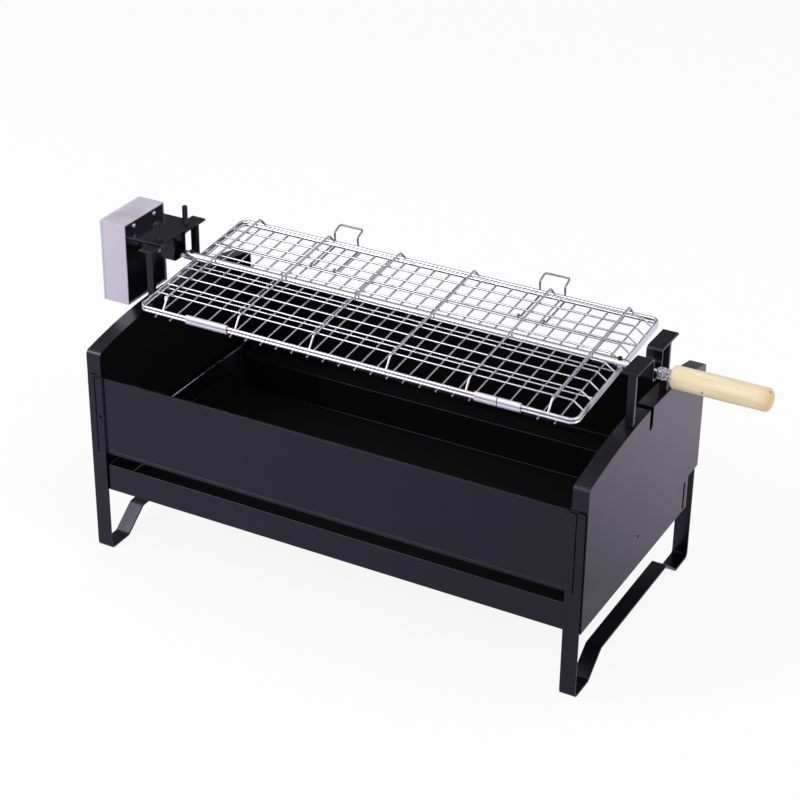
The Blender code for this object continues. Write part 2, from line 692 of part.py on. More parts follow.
def long_wire_y(number):
    return (number - (RAISED_COUNT + 1) / 2) * RAISED_PITCH


def upper_border(material, parent):
    """Border of the raised half, with the bent-down ends of the long wires welded on it."""
    bent_ends = bmesh.new()
    for number in range(1, RAISED_COUNT + 1):
        y = long_wire_y(number)
        for hand in (-1, 1):
            path = [(hand * BASKET_HALF, y, UPPER_N), (hand * RAISED_BEND_X, y, RAISED_N)]
            path.append((hand * RAISED_END_X, y, RAISED_N))
            wire(bent_ends, rounded(path, 2 * MESH_RADIUS, 2), MESH_RADIUS, (0, 1, 0))
    border = border_wire("upper_border", UPPER_N, material, parent)
    combine(border, bent_ends, "UNION", "bent_ends")
    return border


def upper_long_wire(number, material, parent):
    """Level run of a long wire under the ribs, from its left bent end to its right one."""
    y = long_wire_y(number)
    end = RAISED_END_X - CLEARANCE
    bm = bmesh.new()
    wire(bm, [(-end, y, RAISED_N), (end, y, RAISED_N)], MESH_RADIUS, (0, 1, 0))
    return make(f"upper_long_wire_{number}", bm, material, parent, smooth=50)


def lower_basket(material, parent, about):
    """Flat half: cross wires under the border, with three long wires on top of them."""
    cross_wires = bmesh.new()
    rear = BASKET_SIDE + CROSS_REAR_END
    for i in range(CROSS_COUNT):
        x = cross_x(i)
        beside_clip = abs(abs(x) - CLIP_X) < CLIP_LENGTH / 2 + 2 * MESH_RADIUS
        inset = CLIP_BORE + CLIP_SHEET + 2 * CLEARANCE
        front = inset - BASKET_SIDE if beside_clip else -BASKET_SIDE - CROSS_FRONT_END
        wire(cross_wires, [(x, front, CROSS_N), (x, rear, CROSS_N)], MESH_RADIUS, (0, 0, 1), flat_up=True)
    long_wires = bmesh.new()
    end = BASKET_HALF - FRAME_RADIUS / 3
    for i in (-1, 0, 1):
        y = i * FLAT_PITCH
        wire(long_wires, [(-end, y, FLAT_N), (end, y, FLAT_N)], MESH_RADIUS, (0, 0, 1), flat_up=True)
    half = border_wire("lower_basket", LOWER_N, material, parent, about)
    combine(half, cross_wires, "UNION", "cross_wires", about)
    combine(half, long_wires, "UNION", "long_wires", about)
    return half


def cross_x(place):
    """X of a cross wire, counted from the motor end; halves lie between two wires."""
    return (place - (CROSS_COUNT - 1) / 2) * CROSS_PITCH


def oval(radius):
    """Outline round the two border wires of the basket's front edge, in (y, n)."""
    points = []
    for centre, start in ((UPPER_N, 0.0), (LOWER_N, math.pi)):
        for step in range(2 * BEND_STEPS + 1):
            angle = start + math.pi * step / (2 * BEND_STEPS)
            points.append((radius * math.cos(angle) - BASKET_SIDE, centre + radius * math.sin(angle)))
    return points


def hinge_clip(side, material, parent):
    """Sheet sleeve closed round both front border wires, which the lower half turns in."""
    middle = -CLIP_X if side == "left" else CLIP_X
    ends = (middle - CLIP_LENGTH / 2, middle + CLIP_LENGTH / 2)
    bore = CLIP_BORE / math.cos(math.pi / (4 * BEND_STEPS))
    bm = bmesh.new()
    loops = []
    outer = bore + CLIP_SHEET
    for x, radius in ((ends[0], bore), (ends[0], outer), (ends[1], outer), (ends[1], bore)):
        loops.append([bm.verts.new((x, y, n)) for y, n in oval(radius)])
    for first, second in zip(loops, loops[1:] + loops[:1]):
        for k in range(len(first)):
            j = (k + 1) % len(first)
            bm.faces.new((first[k], first[j], second[j], second[k]))
    return make(f"{side}_hinge_clip", bm, material, parent, smooth=35)


def sleeve_span(side):
    """Ends of a basket sleeve along X, from the last rib to past the border wire."""
    start = LAST_RIB_X + RIB_RADIUS + CLEARANCE
    end = BASKET_HALF + SLEEVE_OVERHANG
    return (-end, -start) if side == "left" else (start, end)


def set_screw_x(side):
    low, high = sleeve_span(side)
    return low + SET_SCREW_INSET if side == "left" else high - SET_SCREW_INSET


def sleeve(side, material, parent):
    """Tube on the rod that the upper half's border is welded under, with a set screw hole."""
    low, high = sleeve_span(side)
    bore = ROD_RADIUS + CLEARANCE
    bm = bmesh.new()
    turned(bm, [(low, bore), (low, SLEEVE_RADIUS), (high, SLEEVE_RADIUS), (high, bore)], sides=16)
    tube = make(f"{side}_sleeve", bm, material, parent, smooth=35)
    hole = bmesh.new()
    radius = SET_SCREW_RADIUS + CLEARANCE
    profile = [(0.0, 0.0), (0.0, radius), (2 * SLEEVE_RADIUS, radius), (2 * SLEEVE_RADIUS, 0.0)]
    turned(hole, profile, turn=screw_turn(side), sides=12)
    combine(tube, hole, "DIFFERENCE", "screw_hole")
    return tube


def screw_turn(side):
    """Turns an X axis upward through the rod at a sleeve's set screw."""
    return Matrix.Translation((set_screw_x(side), 0.0, 0.0)) @ Matrix.Rotation(-math.pi / 2, 4, "Y")


def set_screw(side, material, parent):
    low = ROD_RADIUS + CLEARANCE
    high = SLEEVE_RADIUS + SET_SCREW_STAND
    chamfer = SET_SCREW_RADIUS / 4
    profile = [(low, 0.0), (low, SET_SCREW_RADIUS), (high - chamfer, SET_SCREW_RADIUS)]
    profile += [(high, SET_SCREW_RADIUS - chamfer), (high, 0.0)]
    bm = bmesh.new()
    turned(bm, profile, turn=screw_turn(side), sides=10)
    return make(f"{side}_set_screw", bm, material, parent, smooth=35)


def latch_arm(x):
    """Path of one latch arm, from its eye round the pivot wire to the finger bar."""
    points = []
    eye_start = math.radians(20)
    eye_sweep = math.radians(250)
    for step in range(2 * BEND_STEPS + 1):
        angle = eye_start + eye_sweep * step / (2 * BEND_STEPS)
        points.append(Vector((x, LATCH_EYE * math.cos(angle), LATCH_EYE * math.sin(angle))))
    catch = BASKET_SIDE + FRAME_RADIUS + 2 * CLEARANCE + LATCH_RADIUS - FLAT_PITCH
    low = -LATCH_EYE
    bends = [points[-1], (x, catch, low), (x, catch, low + LATCH_RISE)]
    bends.append((x, catch + LATCH_LEAN, low + LATCH_RISE + LATCH_LIFT))
    return points[:-1], bends


def latch(side, material, parent):
    """Wire bail: two arms hung on the pivot wire, up behind both border wires to a finger bar."""
    left_eye, left_bends = latch_arm(-LATCH_HALF)
    right_eye, right_bends = latch_arm(LATCH_HALF)
    bail = rounded(left_bends + right_bends[::-1], LATCH_BEND, 2)
    bm = bmesh.new()
    wire(bm, left_eye + bail + right_eye[::-1], LATCH_RADIUS, (1, 0, 0))
    return make(f"{side}_latch", bm, material, parent, smooth=50)


def motor_bracket(material, parent):
    """Plate behind the gear train, with the hanger plate that drops over the posts."""
    bm = bmesh.new()
    block(bm, (PLATE_BACK_X, PLATE_FRONT_X), (-PLATE_HALF, PLATE_HALF), (PLATE_BOTTOM, PLATE_TOP))
    bracket = make("motor_bracket", bm, material, parent)
    hanger = bmesh.new()
    root = (PLATE_BACK_X + PLATE_FRONT_X) / 2
    block(hanger, (root, HANGER_END_X), (-PLATE_HALF, PLATE_HALF), (HANGER_BOTTOM, HANGER_TOP))
    combine(bracket, hanger, "UNION", "hanger")
    cuts = bmesh.new()
    ends = (PLATE_BACK_X - PLATE_SHEET, PLATE_FRONT_X + PLATE_SHEET)
    bush_hole = HUB_RADIUS + BUSH_WALL + 2 * CLEARANCE
    through(cuts, ends, bush_hole, (0.0, SPIT_Z))
    for hand in (-1, 1):
        through(cuts, ends, COVER_SCREW_RADIUS + CLEARANCE, (hand * COVER_SCREW_SPACING / 2, COVER_SCREW_Z))
        upward = Matrix.Translation((SADDLE_X["left"], hand * POST_SPACING / 2, 0.0))
        upward = upward @ Matrix.Rotation(-math.pi / 2, 4, "Y")
        span = (HANGER_BOTTOM - PLATE_SHEET, HANGER_TOP + PLATE_SHEET)
        through(cuts, span, POST_RADIUS + 2 * CLEARANCE, turn=upward)
    combine(bracket, cuts, "DIFFERENCE", "holes")
    return bracket


def through(bm, ends, radius, centre=(0.0, 0.0), turn=None):
    """Round cutter between two ends."""
    profile = [(ends[0], 0.0), (ends[0], radius), (ends[1], radius), (ends[1], 0.0)]
    turned(bm, profile, centre, turn)


def motor_cover(material, parent):
    """Folded box, open towards the saddle, with two screw tabs, a switch opening and a gland hole."""
    bm = bmesh.new()
    block(bm, (COVER_OUTER_X, COVER_EDGE_X), (-COVER_HALF, COVER_HALF), (COVER_BOTTOM, COVER_TOP))
    cover = make("motor_cover", bm, material, parent)
    pocket = bmesh.new()
    inside = COVER_HALF - COVER_SHEET
    depth = (COVER_BACK_X, COVER_EDGE_X + COVER_SHEET)
    block(pocket, depth, (-inside, inside), (COVER_BOTTOM + COVER_SHEET, COVER_TOP - COVER_SHEET))
    combine(cover, pocket, "DIFFERENCE", "pocket")
    tabs = bmesh.new()
    cuts = bmesh.new()
    tab_x = (PLATE_BACK_X - CLEARANCE - COVER_SHEET, PLATE_BACK_X - CLEARANCE)
    for hand in (-1, 1):
        middle = hand * COVER_SCREW_SPACING / 2
        tab_y = (middle - COVER_TAB / 2, middle + COVER_TAB / 2)
        block(tabs, tab_x, tab_y, (COVER_SCREW_Z - COVER_TAB / 2, COVER_TOP - COVER_SHEET / 2))
        ends = (tab_x[0] - COVER_SHEET, tab_x[1] + COVER_SHEET)
        through(cuts, ends, COVER_SCREW_RADIUS + CLEARANCE, (middle, COVER_SCREW_Z))
    combine(cover, tabs, "UNION", "tabs")
    half_width = SWITCH_WIDTH / 2 + CLEARANCE
    half_height = SWITCH_HEIGHT / 2 + CLEARANCE
    opening = (SWITCH_Z - half_height, SWITCH_Z + half_height)
    block(cuts, (COVER_OUTER_X - COVER_SHEET, COVER_BACK_X + COVER_SHEET), (-half_width, half_width), opening)
    ends = (COVER_HALF - 2 * COVER_SHEET, COVER_HALF + COVER_SHEET)
    through(cuts, ends, GLAND_RADIUS + CLEARANCE, turn=gland_turn())
    combine(cover, cuts, "DIFFERENCE", "openings")
    return cover


def cover_screw(place, material, parent):
    """Screw through the bracket into a cover tab."""
    y = COVER_SCREW_SPACING / 2 * (-1 if place == "front" else 1)
    seat = PLATE_FRONT_X + CLEARANCE
    top = seat + COVER_SCREW_HEAD_HEIGHT
    tail = PLATE_BACK_X - 2 * COVER_SHEET - CLEARANCE
    profile = [(tail, 0.0), (tail, COVER_SCREW_RADIUS), (seat, COVER_SCREW_RADIUS)]
    profile += [(seat, COVER_SCREW_HEAD), (top - COVER_SCREW_HEAD / 5, COVER_SCREW_HEAD)]
    profile += [(top, COVER_SCREW_HEAD * 2 / 3), (top, 0.0)]
    bm = bmesh.new()
    turned(bm, profile, (y, COVER_SCREW_Z), sides=12)
    return make(f"{place}_cover_screw", bm, material, parent, smooth=35)


def gear_plate(material, parent):
    """Inner plate that carries the motor can, riveted to four pillars off the bracket."""
    back = GEAR_PLATE_X - GEAR_PLATE_SHEET
    half = PLATE_HALF - PILLAR_INSET / 2
    bottom = PLATE_BOTTOM + PILLAR_INSET / 2
    top = PLATE_TOP - PILLAR_INSET / 2
    bm = bmesh.new()
    block(bm, (back, GEAR_PLATE_X), (-half, half), (bottom, top))
    plate = make("gear_plate", bm, material, parent, smooth=35)
    pillars = bmesh.new()
    for y in (PILLAR_INSET - PLATE_HALF, PLATE_HALF - PILLAR_INSET):
        for z in (PLATE_BOTTOM + PILLAR_INSET, PLATE_TOP - PILLAR_INSET):
            start = GEAR_PLATE_X - GEAR_PLATE_SHEET / 2
            end = PLATE_BACK_X - CLEARANCE
            profile = [(start, 0.0), (start, PILLAR_RADIUS), (end, PILLAR_RADIUS), (end, 0.0)]
            turned(pillars, profile, (y, z), sides=10)
    combine(plate, pillars, "UNION", "pillars")
    hole = bmesh.new()
    ends = (back - GEAR_PLATE_SHEET, GEAR_PLATE_X + GEAR_PLATE_SHEET)
    through(hole, ends, SHAFT_RADIUS + CLEARANCE, (0.0, MOTOR_Z))
    combine(plate, hole, "DIFFERENCE", "shaft_hole")
    return plate


def motor_can(material, parent):
    """Motor body behind the gear plate, bored for its shaft."""
    bore = SHAFT_RADIUS + CLEARANCE
    chamfer = CAN_LENGTH / 12
    back = CAN_X - CAN_LENGTH
    bottom = CAN_X - SHAFT_TAIL - CLEARANCE
    profile = [(back, 0.0), (back, CAN_RADIUS - chamfer), (back + chamfer, CAN_RADIUS)]
    profile += [(CAN_X, CAN_RADIUS), (CAN_X, bore), (bottom, bore), (bottom, 0.0)]
    bm = bmesh.new()
    turned(bm, profile, (0.0, MOTOR_Z))
    return make("motor_can", bm, material, parent, smooth=35)


def gear_outline(teeth, phase):
    """Spur gear with straight flanks and ample backlash; one tooth is centred on phase."""
    pitch_radius = GEAR_MODULE * teeth / 2
    root = pitch_radius - 1.25 * GEAR_MODULE
    tip = pitch_radius + 0.75 * GEAR_MODULE
    step = 2 * math.pi / teeth
    points = []
    for i in range(teeth):
        for share, radius in ((-0.29, root), (-0.10, tip), (0.10, tip), (0.29, root)):
            angle = phase + (i + share) * step
            points.append((radius * math.cos(angle), radius * math.sin(angle)))
    return points


def motor_pinion(material, parent):
    """Motor shaft with its pinion, about the motor's axis."""
    phase = MOTOR_ANGLE + math.pi + math.pi / MOTOR_PINION_TEETH
    bm = bmesh.new()
    prism(bm, gear_outline(MOTOR_PINION_TEETH, phase), "X", WHEEL_X - GEAR_WIDTH, WHEEL_X)
    pinion = make("motor_pinion", bm, material, parent)
    shaft = bmesh.new()
    through(shaft, (CAN_X - SHAFT_TAIL, WHEEL_X - GEAR_WIDTH / 2), SHAFT_RADIUS)
    combine(pinion, shaft, "UNION", "shaft")
    return pinion


def idler_gear(material, parent):
    """Wheel driven by the motor pinion, in one piece with the pinion that drives the output gear."""
    bm = bmesh.new()
    prism(bm, gear_outline(IDLER_WHEEL_TEETH, MOTOR_ANGLE), "X", WHEEL_X - GEAR_WIDTH, WHEEL_X)
    idler = make("idler_gear", bm, material, parent)
    pinion = bmesh.new()
    phase = IDLER_ANGLE + math.pi + math.pi / IDLER_PINION_TEETH
    outline = gear_outline(IDLER_PINION_TEETH, phase)
    prism(pinion, outline, "X", WHEEL_X - GEAR_WIDTH / 2, OUTPUT_GEAR_X)
    combine(idler, pinion, "UNION", "pinion")
    bore = bmesh.new()
    through(bore, (WHEEL_X - 2 * GEAR_WIDTH, OUTPUT_GEAR_X + GEAR_WIDTH), PIN_RADIUS + CLEARANCE)
    combine(idler, bore, "DIFFERENCE", "bore")
    return idler


def idler_pin(material, parent):
    bm = bmesh.new()
    ends = (GEAR_PLATE_X + CLEARANCE, PLATE_BACK_X - CLEARANCE)
    profile = [(ends[0], 0.0), (ends[0], PIN_RADIUS), (ends[1], PIN_RADIUS), (ends[1], 0.0)]
    turned(bm, profile, (IDLER_Y, IDLER_Z), sides=12)
    return make("idler_pin", bm, material, parent, smooth=35)


def output_gear(material, parent):
    """Last gear, with the hub and square socket that take the spit's drive tip."""
    bm = bmesh.new()
    prism(bm, gear_outline(OUTPUT_TEETH, IDLER_ANGLE), "X", OUTPUT_GEAR_X - GEAR_WIDTH, OUTPUT_GEAR_X)
    gear = make("output_gear", bm, material, parent)
    hub = bmesh.new()
    through(hub, (OUTPUT_GEAR_X - GEAR_WIDTH / 2, SOCKET_END), HUB_RADIUS)
    combine(gear, hub, "UNION", "hub")
    socket = bmesh.new()
    half = DRIVE_SQUARE / 2 + CLEARANCE
    block(socket, (SOCKET_END - DRIVE_LENGTH, SOCKET_END + DRIVE_LENGTH), (-half, half), (-half, half))
    combine(gear, socket, "DIFFERENCE", "socket")
    return gear


def output_bush(material, parent):
    """Rimmed bush in the bracket that the output hub turns in."""
    bore = (HUB_RADIUS + CLEARANCE) / math.cos(math.pi / ROUND_SIDES)
    wall = bore + BUSH_WALL
    seat = PLATE_FRONT_X + CLEARANCE
    rim_end = seat + BUSH_RIM / 2
    profile = [(PLATE_BACK_X, bore), (PLATE_BACK_X, wall), (seat, wall), (seat, wall + BUSH_RIM)]
    profile += [(rim_end, wall + BUSH_RIM), (rim_end, bore)]
    bm = bmesh.new()
    turned(bm, profile, (0.0, SPIT_Z))
    return make("output_bush", bm, material, parent, smooth=35)


def switch_bezel(material, parent):
    """Rimmed frame in the cover's outer wall that the rocker sits in."""
    rim_y = SWITCH_WIDTH / 2 + SWITCH_RIM
    rim_z = SWITCH_HEIGHT / 2 + SWITCH_RIM
    bm = bmesh.new()
    rim_x = (SWITCH_FRONT_X, SWITCH_FRONT_X + SWITCH_RIM)
    block(bm, rim_x, (-rim_y, rim_y), (SWITCH_Z - rim_z, SWITCH_Z + rim_z))
    bezel = make("switch_bezel", bm, material, parent)
    body = bmesh.new()
    half_y = SWITCH_WIDTH / 2
    half_z = SWITCH_HEIGHT / 2
    depth = (SWITCH_FRONT_X + SWITCH_RIM / 2, SWITCH_FRONT_X + SWITCH_DEPTH + SWITCH_WALL)
    block(body, depth, (-half_y, half_y), (SWITCH_Z - half_z, SWITCH_Z + half_z))
    combine(bezel, body, "UNION", "body")
    pocket = bmesh.new()
    half_y -= SWITCH_WALL
    half_z -= SWITCH_WALL
    depth = (SWITCH_FRONT_X - SWITCH_RIM, SWITCH_FRONT_X + SWITCH_DEPTH)
    block(pocket, depth, (-half_y, half_y), (SWITCH_Z - half_z, SWITCH_Z + half_z))
    combine(bezel, pocket, "DIFFERENCE", "pocket")
    return bezel


def switch_rocker(material, parent):
    """Rocker with a hollowed face, tilted to off about its pivot, which is the origin here."""
    half_y = SWITCH_WIDTH / 2 - SWITCH_WALL - CLEARANCE
    reach = SWITCH_HEIGHT / 2 - SWITCH_WALL - 3 * CLEARANCE
    face = SWITCH_DEPTH / 2 - SWITCH_WALL
    dip = face - SWITCH_WALL
    heel = (dip / 2, reach * 2 / 3)
    outline = [(-face, -reach), (-dip, 0.0), (-face, reach), heel, (heel[0], -heel[1])]
    bm = bmesh.new()
    prism(bm, outline, "Y", -half_y, half_y)
    bmesh.ops.rotate(bm, verts=bm.verts, matrix=Matrix.Rotation(ROCKER_TILT, 3, "Y"))
    return make("switch_rocker", bm, material, parent)


def gland_turn():
    """Turns an X axis to +Y at the cord gland."""
    return Matrix.Translation((GLAND_X, 0.0, GLAND_Z)) @ Matrix.Rotation(math.pi / 2, 4, "Z")


def cord_gland(material, parent):
    """Rubber gland in the cover's rear wall."""
    seat = COVER_HALF + CLEARANCE
    end = seat + GLAND_LENGTH
    tail = COVER_HALF - 2 * COVER_SHEET
    profile = [(tail, GLAND_BORE), (tail, GLAND_RADIUS), (seat, GLAND_RADIUS)]
    profile += [(seat, GLAND_RADIUS + GLAND_RIM), (seat + GLAND_RIM, GLAND_RADIUS + GLAND_RIM)]
    profile += [(end, GLAND_RADIUS), (end, GLAND_BORE)]
    bm = bmesh.new()
    turned(bm, profile, turn=gland_turn(), sides=16)
    return make("cord_gland", bm, material, parent, smooth=35)


def build_stand(finishes, roaster):
    enamel = finishes["enamel"]
    for side, hand in (("left", -1), ("right", 1)):
        end_panel(f"{side}_end_panel", hand, enamel, roaster)
        leg(f"{side}_leg", hand, enamel, roaster)
        tray_runner(f"{side}_tray_runner", hand, enamel, roaster)
        saddle(side, enamel, roaster)
        for place in ("front", "rear"):
            upright(side, place, enamel, roaster)
    side_panel("front_panel", -1, SIDE_BOTTOM, HEM_HEIGHT, enamel, roaster)
    side_panel("back_panel", 1, BACK_BOTTOM, BACK_HEM_HEIGHT, enamel, roaster)
    for place in ("front", "rear"):
        hanger_post(place, enamel, roaster)
    tray_place = (0.0, -HALF_DEPTH, TRAY_BOTTOM)
    ash_tray(enamel, empty("tray_slide", roaster, tray_place), tray_place)


def build_motor(finishes, roaster):
    steel = finishes["zinc"]
    motor_bracket(finishes["enamel"], roaster)
    motor_cover(finishes["brushed"], roaster)
    for place in ("front", "rear"):
        cover_screw(place, steel, roaster)
    gear_plate(steel, roaster)
    motor_can(steel, roaster)
    idler_pin(steel, roaster)
    output_bush(finishes["brass"], roaster)
    motor_pinion(finishes["brass"], empty("motor_axis", roaster, (0.0, 0.0, MOTOR_Z)))
    idler_gear(finishes["nylon"], empty("idler_axis", roaster, (0.0, IDLER_Y, IDLER_Z)))
    output_gear(steel, empty("output_axis", roaster, (0.0, 0.0, SPIT_Z)))
    switch_bezel(finishes["plastic"], roaster)
    switch_rocker(finishes["plastic"], empty("switch_axis", roaster, (ROCKER_X, 0.0, SWITCH_Z)))
    cord_gland(finishes["rubber"], roaster)


def build_spit(finishes, roaster):
    chrome = finishes["chrome"]
    axis = empty("spit_axis", roaster, (0.0, 0.0, SPIT_Z))
    spit_rod(chrome, axis)
    handle_ferrule(chrome, axis)
    wooden_handle(finishes["wood"], axis)
    basket = empty("basket_frame", axis, (0.0, 0.0, 0.0), BASKET_TILT)
    upper_border(chrome, basket)
    for number in range(1, RIB_COUNT + 1):
        upper_rib(number, chrome, basket)
    for number in range(1, RAISED_COUNT + 1):
        upper_long_wire(number, chrome, basket)
    for side in ("left", "right"):
        sleeve(side, chrome, basket)
        set_screw(side, finishes["black_screw"], basket)
        hinge_clip(side, chrome, basket)
    hinge = (0.0, -BASKET_SIDE, LOWER_N)
    swing = empty("basket_hinge", basket, hinge)
    lower_basket(chrome, swing, hinge)
    for side, place in LATCH_CROSS_PLACES.items():
        pivot = (cross_x(place), FLAT_PITCH + BASKET_SIDE, FLAT_N - LOWER_N)
        latch(side, chrome, empty(f"{side}_latch_axis", swing, pivot))


def main():
    clear_scene()
    finishes = {
        "enamel": finish("black_enamel", (0.035, 0.034, 0.040), 0.30, 0.0),
        "zinc": finish("zinc_plate", (0.45, 0.45, 0.47), 0.35, 1.0),
        "brushed": finish("brushed_sheet", (0.60, 0.58, 0.62), 0.35, 1.0),
        "chrome": finish("chrome_wire", (0.75, 0.75, 0.77), 0.12, 1.0),
        "wood": finish("pale_wood", (0.86, 0.71, 0.46), 0.55, 0.0),
        "brass": finish("brass", (0.70, 0.52, 0.22), 0.35, 1.0),
        "nylon": finish("white_nylon", (0.80, 0.80, 0.76), 0.45, 0.0),
        "plastic": finish("black_plastic", (0.02, 0.02, 0.02), 0.35, 0.0),
        "rubber": finish("black_rubber", (0.015, 0.015, 0.015), 0.70, 0.0),
        "black_screw": finish("black_screw", (0.03, 0.03, 0.03), 0.40, 1.0),
    }
    roaster = empty("roaster", None, (-CENTRE_X, -CENTRE_Y, 0.0))
    build_stand(finishes, roaster)
    build_motor(finishes, roaster)
    build_spit(finishes, roaster)


main()
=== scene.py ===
# %% [markdown]
# A charcoal roaster with a motor-turned spit, dressed in Blender.
# The imported model is loaded first, because every piece below is set against it: its nodes give the
# places and its bodies give the movements.

# %% Load the imported roaster
import json
import math

import bmesh
import bpy
from mathutils import Matrix, Vector


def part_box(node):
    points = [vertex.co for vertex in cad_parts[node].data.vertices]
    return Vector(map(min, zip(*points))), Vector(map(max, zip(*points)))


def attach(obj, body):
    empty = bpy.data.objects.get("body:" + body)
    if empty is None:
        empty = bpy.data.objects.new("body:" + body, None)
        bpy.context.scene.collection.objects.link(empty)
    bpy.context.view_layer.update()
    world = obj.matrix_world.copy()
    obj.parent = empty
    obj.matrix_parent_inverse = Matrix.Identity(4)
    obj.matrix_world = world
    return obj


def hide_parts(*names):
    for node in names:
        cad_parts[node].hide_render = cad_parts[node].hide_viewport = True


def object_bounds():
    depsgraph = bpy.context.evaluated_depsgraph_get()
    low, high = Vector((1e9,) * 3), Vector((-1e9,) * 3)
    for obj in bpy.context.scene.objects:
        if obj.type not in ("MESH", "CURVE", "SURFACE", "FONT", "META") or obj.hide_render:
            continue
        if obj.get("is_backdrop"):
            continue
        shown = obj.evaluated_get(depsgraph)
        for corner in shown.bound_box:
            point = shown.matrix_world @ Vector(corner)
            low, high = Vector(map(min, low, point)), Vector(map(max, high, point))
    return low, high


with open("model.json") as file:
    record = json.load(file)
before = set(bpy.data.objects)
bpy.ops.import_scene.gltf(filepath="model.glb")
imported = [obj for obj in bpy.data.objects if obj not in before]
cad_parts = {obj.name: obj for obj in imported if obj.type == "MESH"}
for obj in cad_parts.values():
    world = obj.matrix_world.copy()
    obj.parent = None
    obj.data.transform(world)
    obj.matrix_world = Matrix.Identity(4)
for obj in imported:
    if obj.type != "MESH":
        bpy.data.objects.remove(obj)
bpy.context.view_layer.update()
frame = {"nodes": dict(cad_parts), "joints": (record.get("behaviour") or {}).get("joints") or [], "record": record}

BODY_OF = {}
for body, nodes in frame["record"]["behaviour"]["bodies"].items():
    for node in nodes:
        BODY_OF[node] = body

# %% [markdown]
# The camera stands in front of the roaster, to its right and above it, and looks down at 29 degrees.
# A long lens keeps the box nearly parallel. A Track To constraint could aim it but not roll it, so
# the turns are given as a photographer would give them, as yaw, pitch and a small roll, and a
# matrix joins them.

# %% Set up the camera
CAMERA_PLACE = Vector((0.94691, -1.80809, 1.32344))
CAMERA_YAW = math.radians(28.27)
CAMERA_DOWN = math.radians(28.73)
CAMERA_ROLL = math.radians(0.66)
SENSOR_MM = 36
LENS_MM = 96.1
bpy.ops.object.select_all(action="DESELECT")
bpy.ops.object.camera_add(location=CAMERA_PLACE)
camera = bpy.context.object
turn = Matrix.Rotation(CAMERA_YAW, 3, "Z") @ Matrix.Rotation(math.pi / 2 - CAMERA_DOWN, 3, "X")
camera.rotation_euler = (turn @ Matrix.Rotation(CAMERA_ROLL, 3, "Z")).to_euler()
camera.data.sensor_width = SENSOR_MM
camera.data.lens = LENS_MM
bpy.context.scene.camera = camera
bpy.context.scene.view_settings.view_transform = "Standard"
print("camera lens:", LENS_MM, "mm")

# %% [markdown]
# Colours are written as sRGB hex values, as a paint card gives them, and Blender's shaders work in
# linear light, so one function turns the first into the second. Another says how many pattern cells
# of a size in millimetres fit a metre, and a third adds a shader node with its settings and links.
# Sockets that share a name are called by number: on a Mix of colours, 6 and 7 are the two colours
# and 2 is the result, and on a Map Range, 1 and 2 are the range it reads, 3 and 4 the one it gives.

# %% Helpers for colours and shader nodes
WHITE = (1, 1, 1, 1)


def linear(code):
    shares = [int(code[k:k + 2], 16) / 255 for k in (0, 2, 4)]
    return [s / 12.92 if s <= 0.04045 else ((s + 0.055) / 1.055) ** 2.4 for s in shares] + [1.0]


def per(size_mm):
    return 1000.0 / size_mm


def add(tree, kind, links, **settings):
    node = tree.nodes.new("ShaderNode" + kind)
    for name, value in settings.items():
        setattr(node, name, value)
    for name, value in links.items():
        if isinstance(value, bpy.types.NodeSocket):
            tree.links.new(value, node.inputs[name])
        else:
            node.inputs[name].default_value = value
    return node


def new_finish(name):
    finish = bpy.data.materials.new(name)
    finish.use_nodes = True
    return finish, finish.node_tree, finish.node_tree.nodes["Principled BSDF"]


print("a 2 mm pattern has", per(2.0), "cells in a metre")

# %% [markdown]
# The floor is a sheet of matt white paper. A photographer would curve it up behind the set, but a
# flat sheet that ends far beyond every view does as well here, because the background behind it
# is just as white.

# %% Lay the floor
FLOOR_SIZE = 120.0
FLOOR_BELOW = 0.0002
bpy.ops.object.select_all(action="DESELECT")
bpy.ops.mesh.primitive_plane_add(size=FLOOR_SIZE, location=(0, 0, -FLOOR_BELOW))
floor = bpy.context.object
floor.name = "paper_floor"
paper, tree, lit_paper = new_finish("matt_white_paper")
lit_paper.inputs["Base Color"].default_value = linear("F6F6F6")
lit_paper.inputs["Roughness"].default_value = 0.9
lit_paper.inputs["Specular IOR Level"].default_value = 0.1
floor.data.materials.append(paper)
floor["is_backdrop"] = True
print("floor:", floor.name, FLOOR_SIZE, "m wide")

# %% [markdown]
# Glossy enamel and chrome show their surroundings more than themselves, so a photographer lays grey
# and black card round the set. Here the cards are tones of the floor that only reflections see: it
# is greyer in front, most of all on the right, pale far behind, and black on a card behind the
# roaster, which draws the thin dark edges of the bright wires. What the camera sees is mostly white
# by itself, and the rest is lit paper, which carries the soft shadow under the feet.

# %% Tone the floor
PAPER_SHADOW = 0.10
PAPER_LEFT, PAPER_RIGHT, PAPER_FAR, BLACK_CARD = "BFBBCC", "A9A5B4", "F1EBFF", "1E1D24"
GREYING_X = (-0.48, 0.14)
PALING_Y = (0.05, 0.45)
CARD_FRONT_Y = (0.27, 0.38)
CARD_RIGHT_X = (0.33, 0.25)
spot = add(tree, "SeparateXYZ", {0: add(tree, "TexCoord", {}).outputs["Object"]}).outputs
greying = add(tree, "MapRange", {0: spot["X"], 1: GREYING_X[0], 2: GREYING_X[1]})
paling = add(tree, "MapRange", {0: spot["Y"], 1: PALING_Y[0], 2: PALING_Y[1]})
behind = add(tree, "MapRange", {0: spot["Y"], 1: CARD_FRONT_Y[0], 2: CARD_FRONT_Y[1]})
beside = add(tree, "MapRange", {0: spot["X"], 1: CARD_RIGHT_X[0], 2: CARD_RIGHT_X[1]})
card = add(tree, "Math", {0: behind.outputs[0], 1: beside.outputs[0]}, operation="MULTIPLY")
tone = linear(PAPER_LEFT)
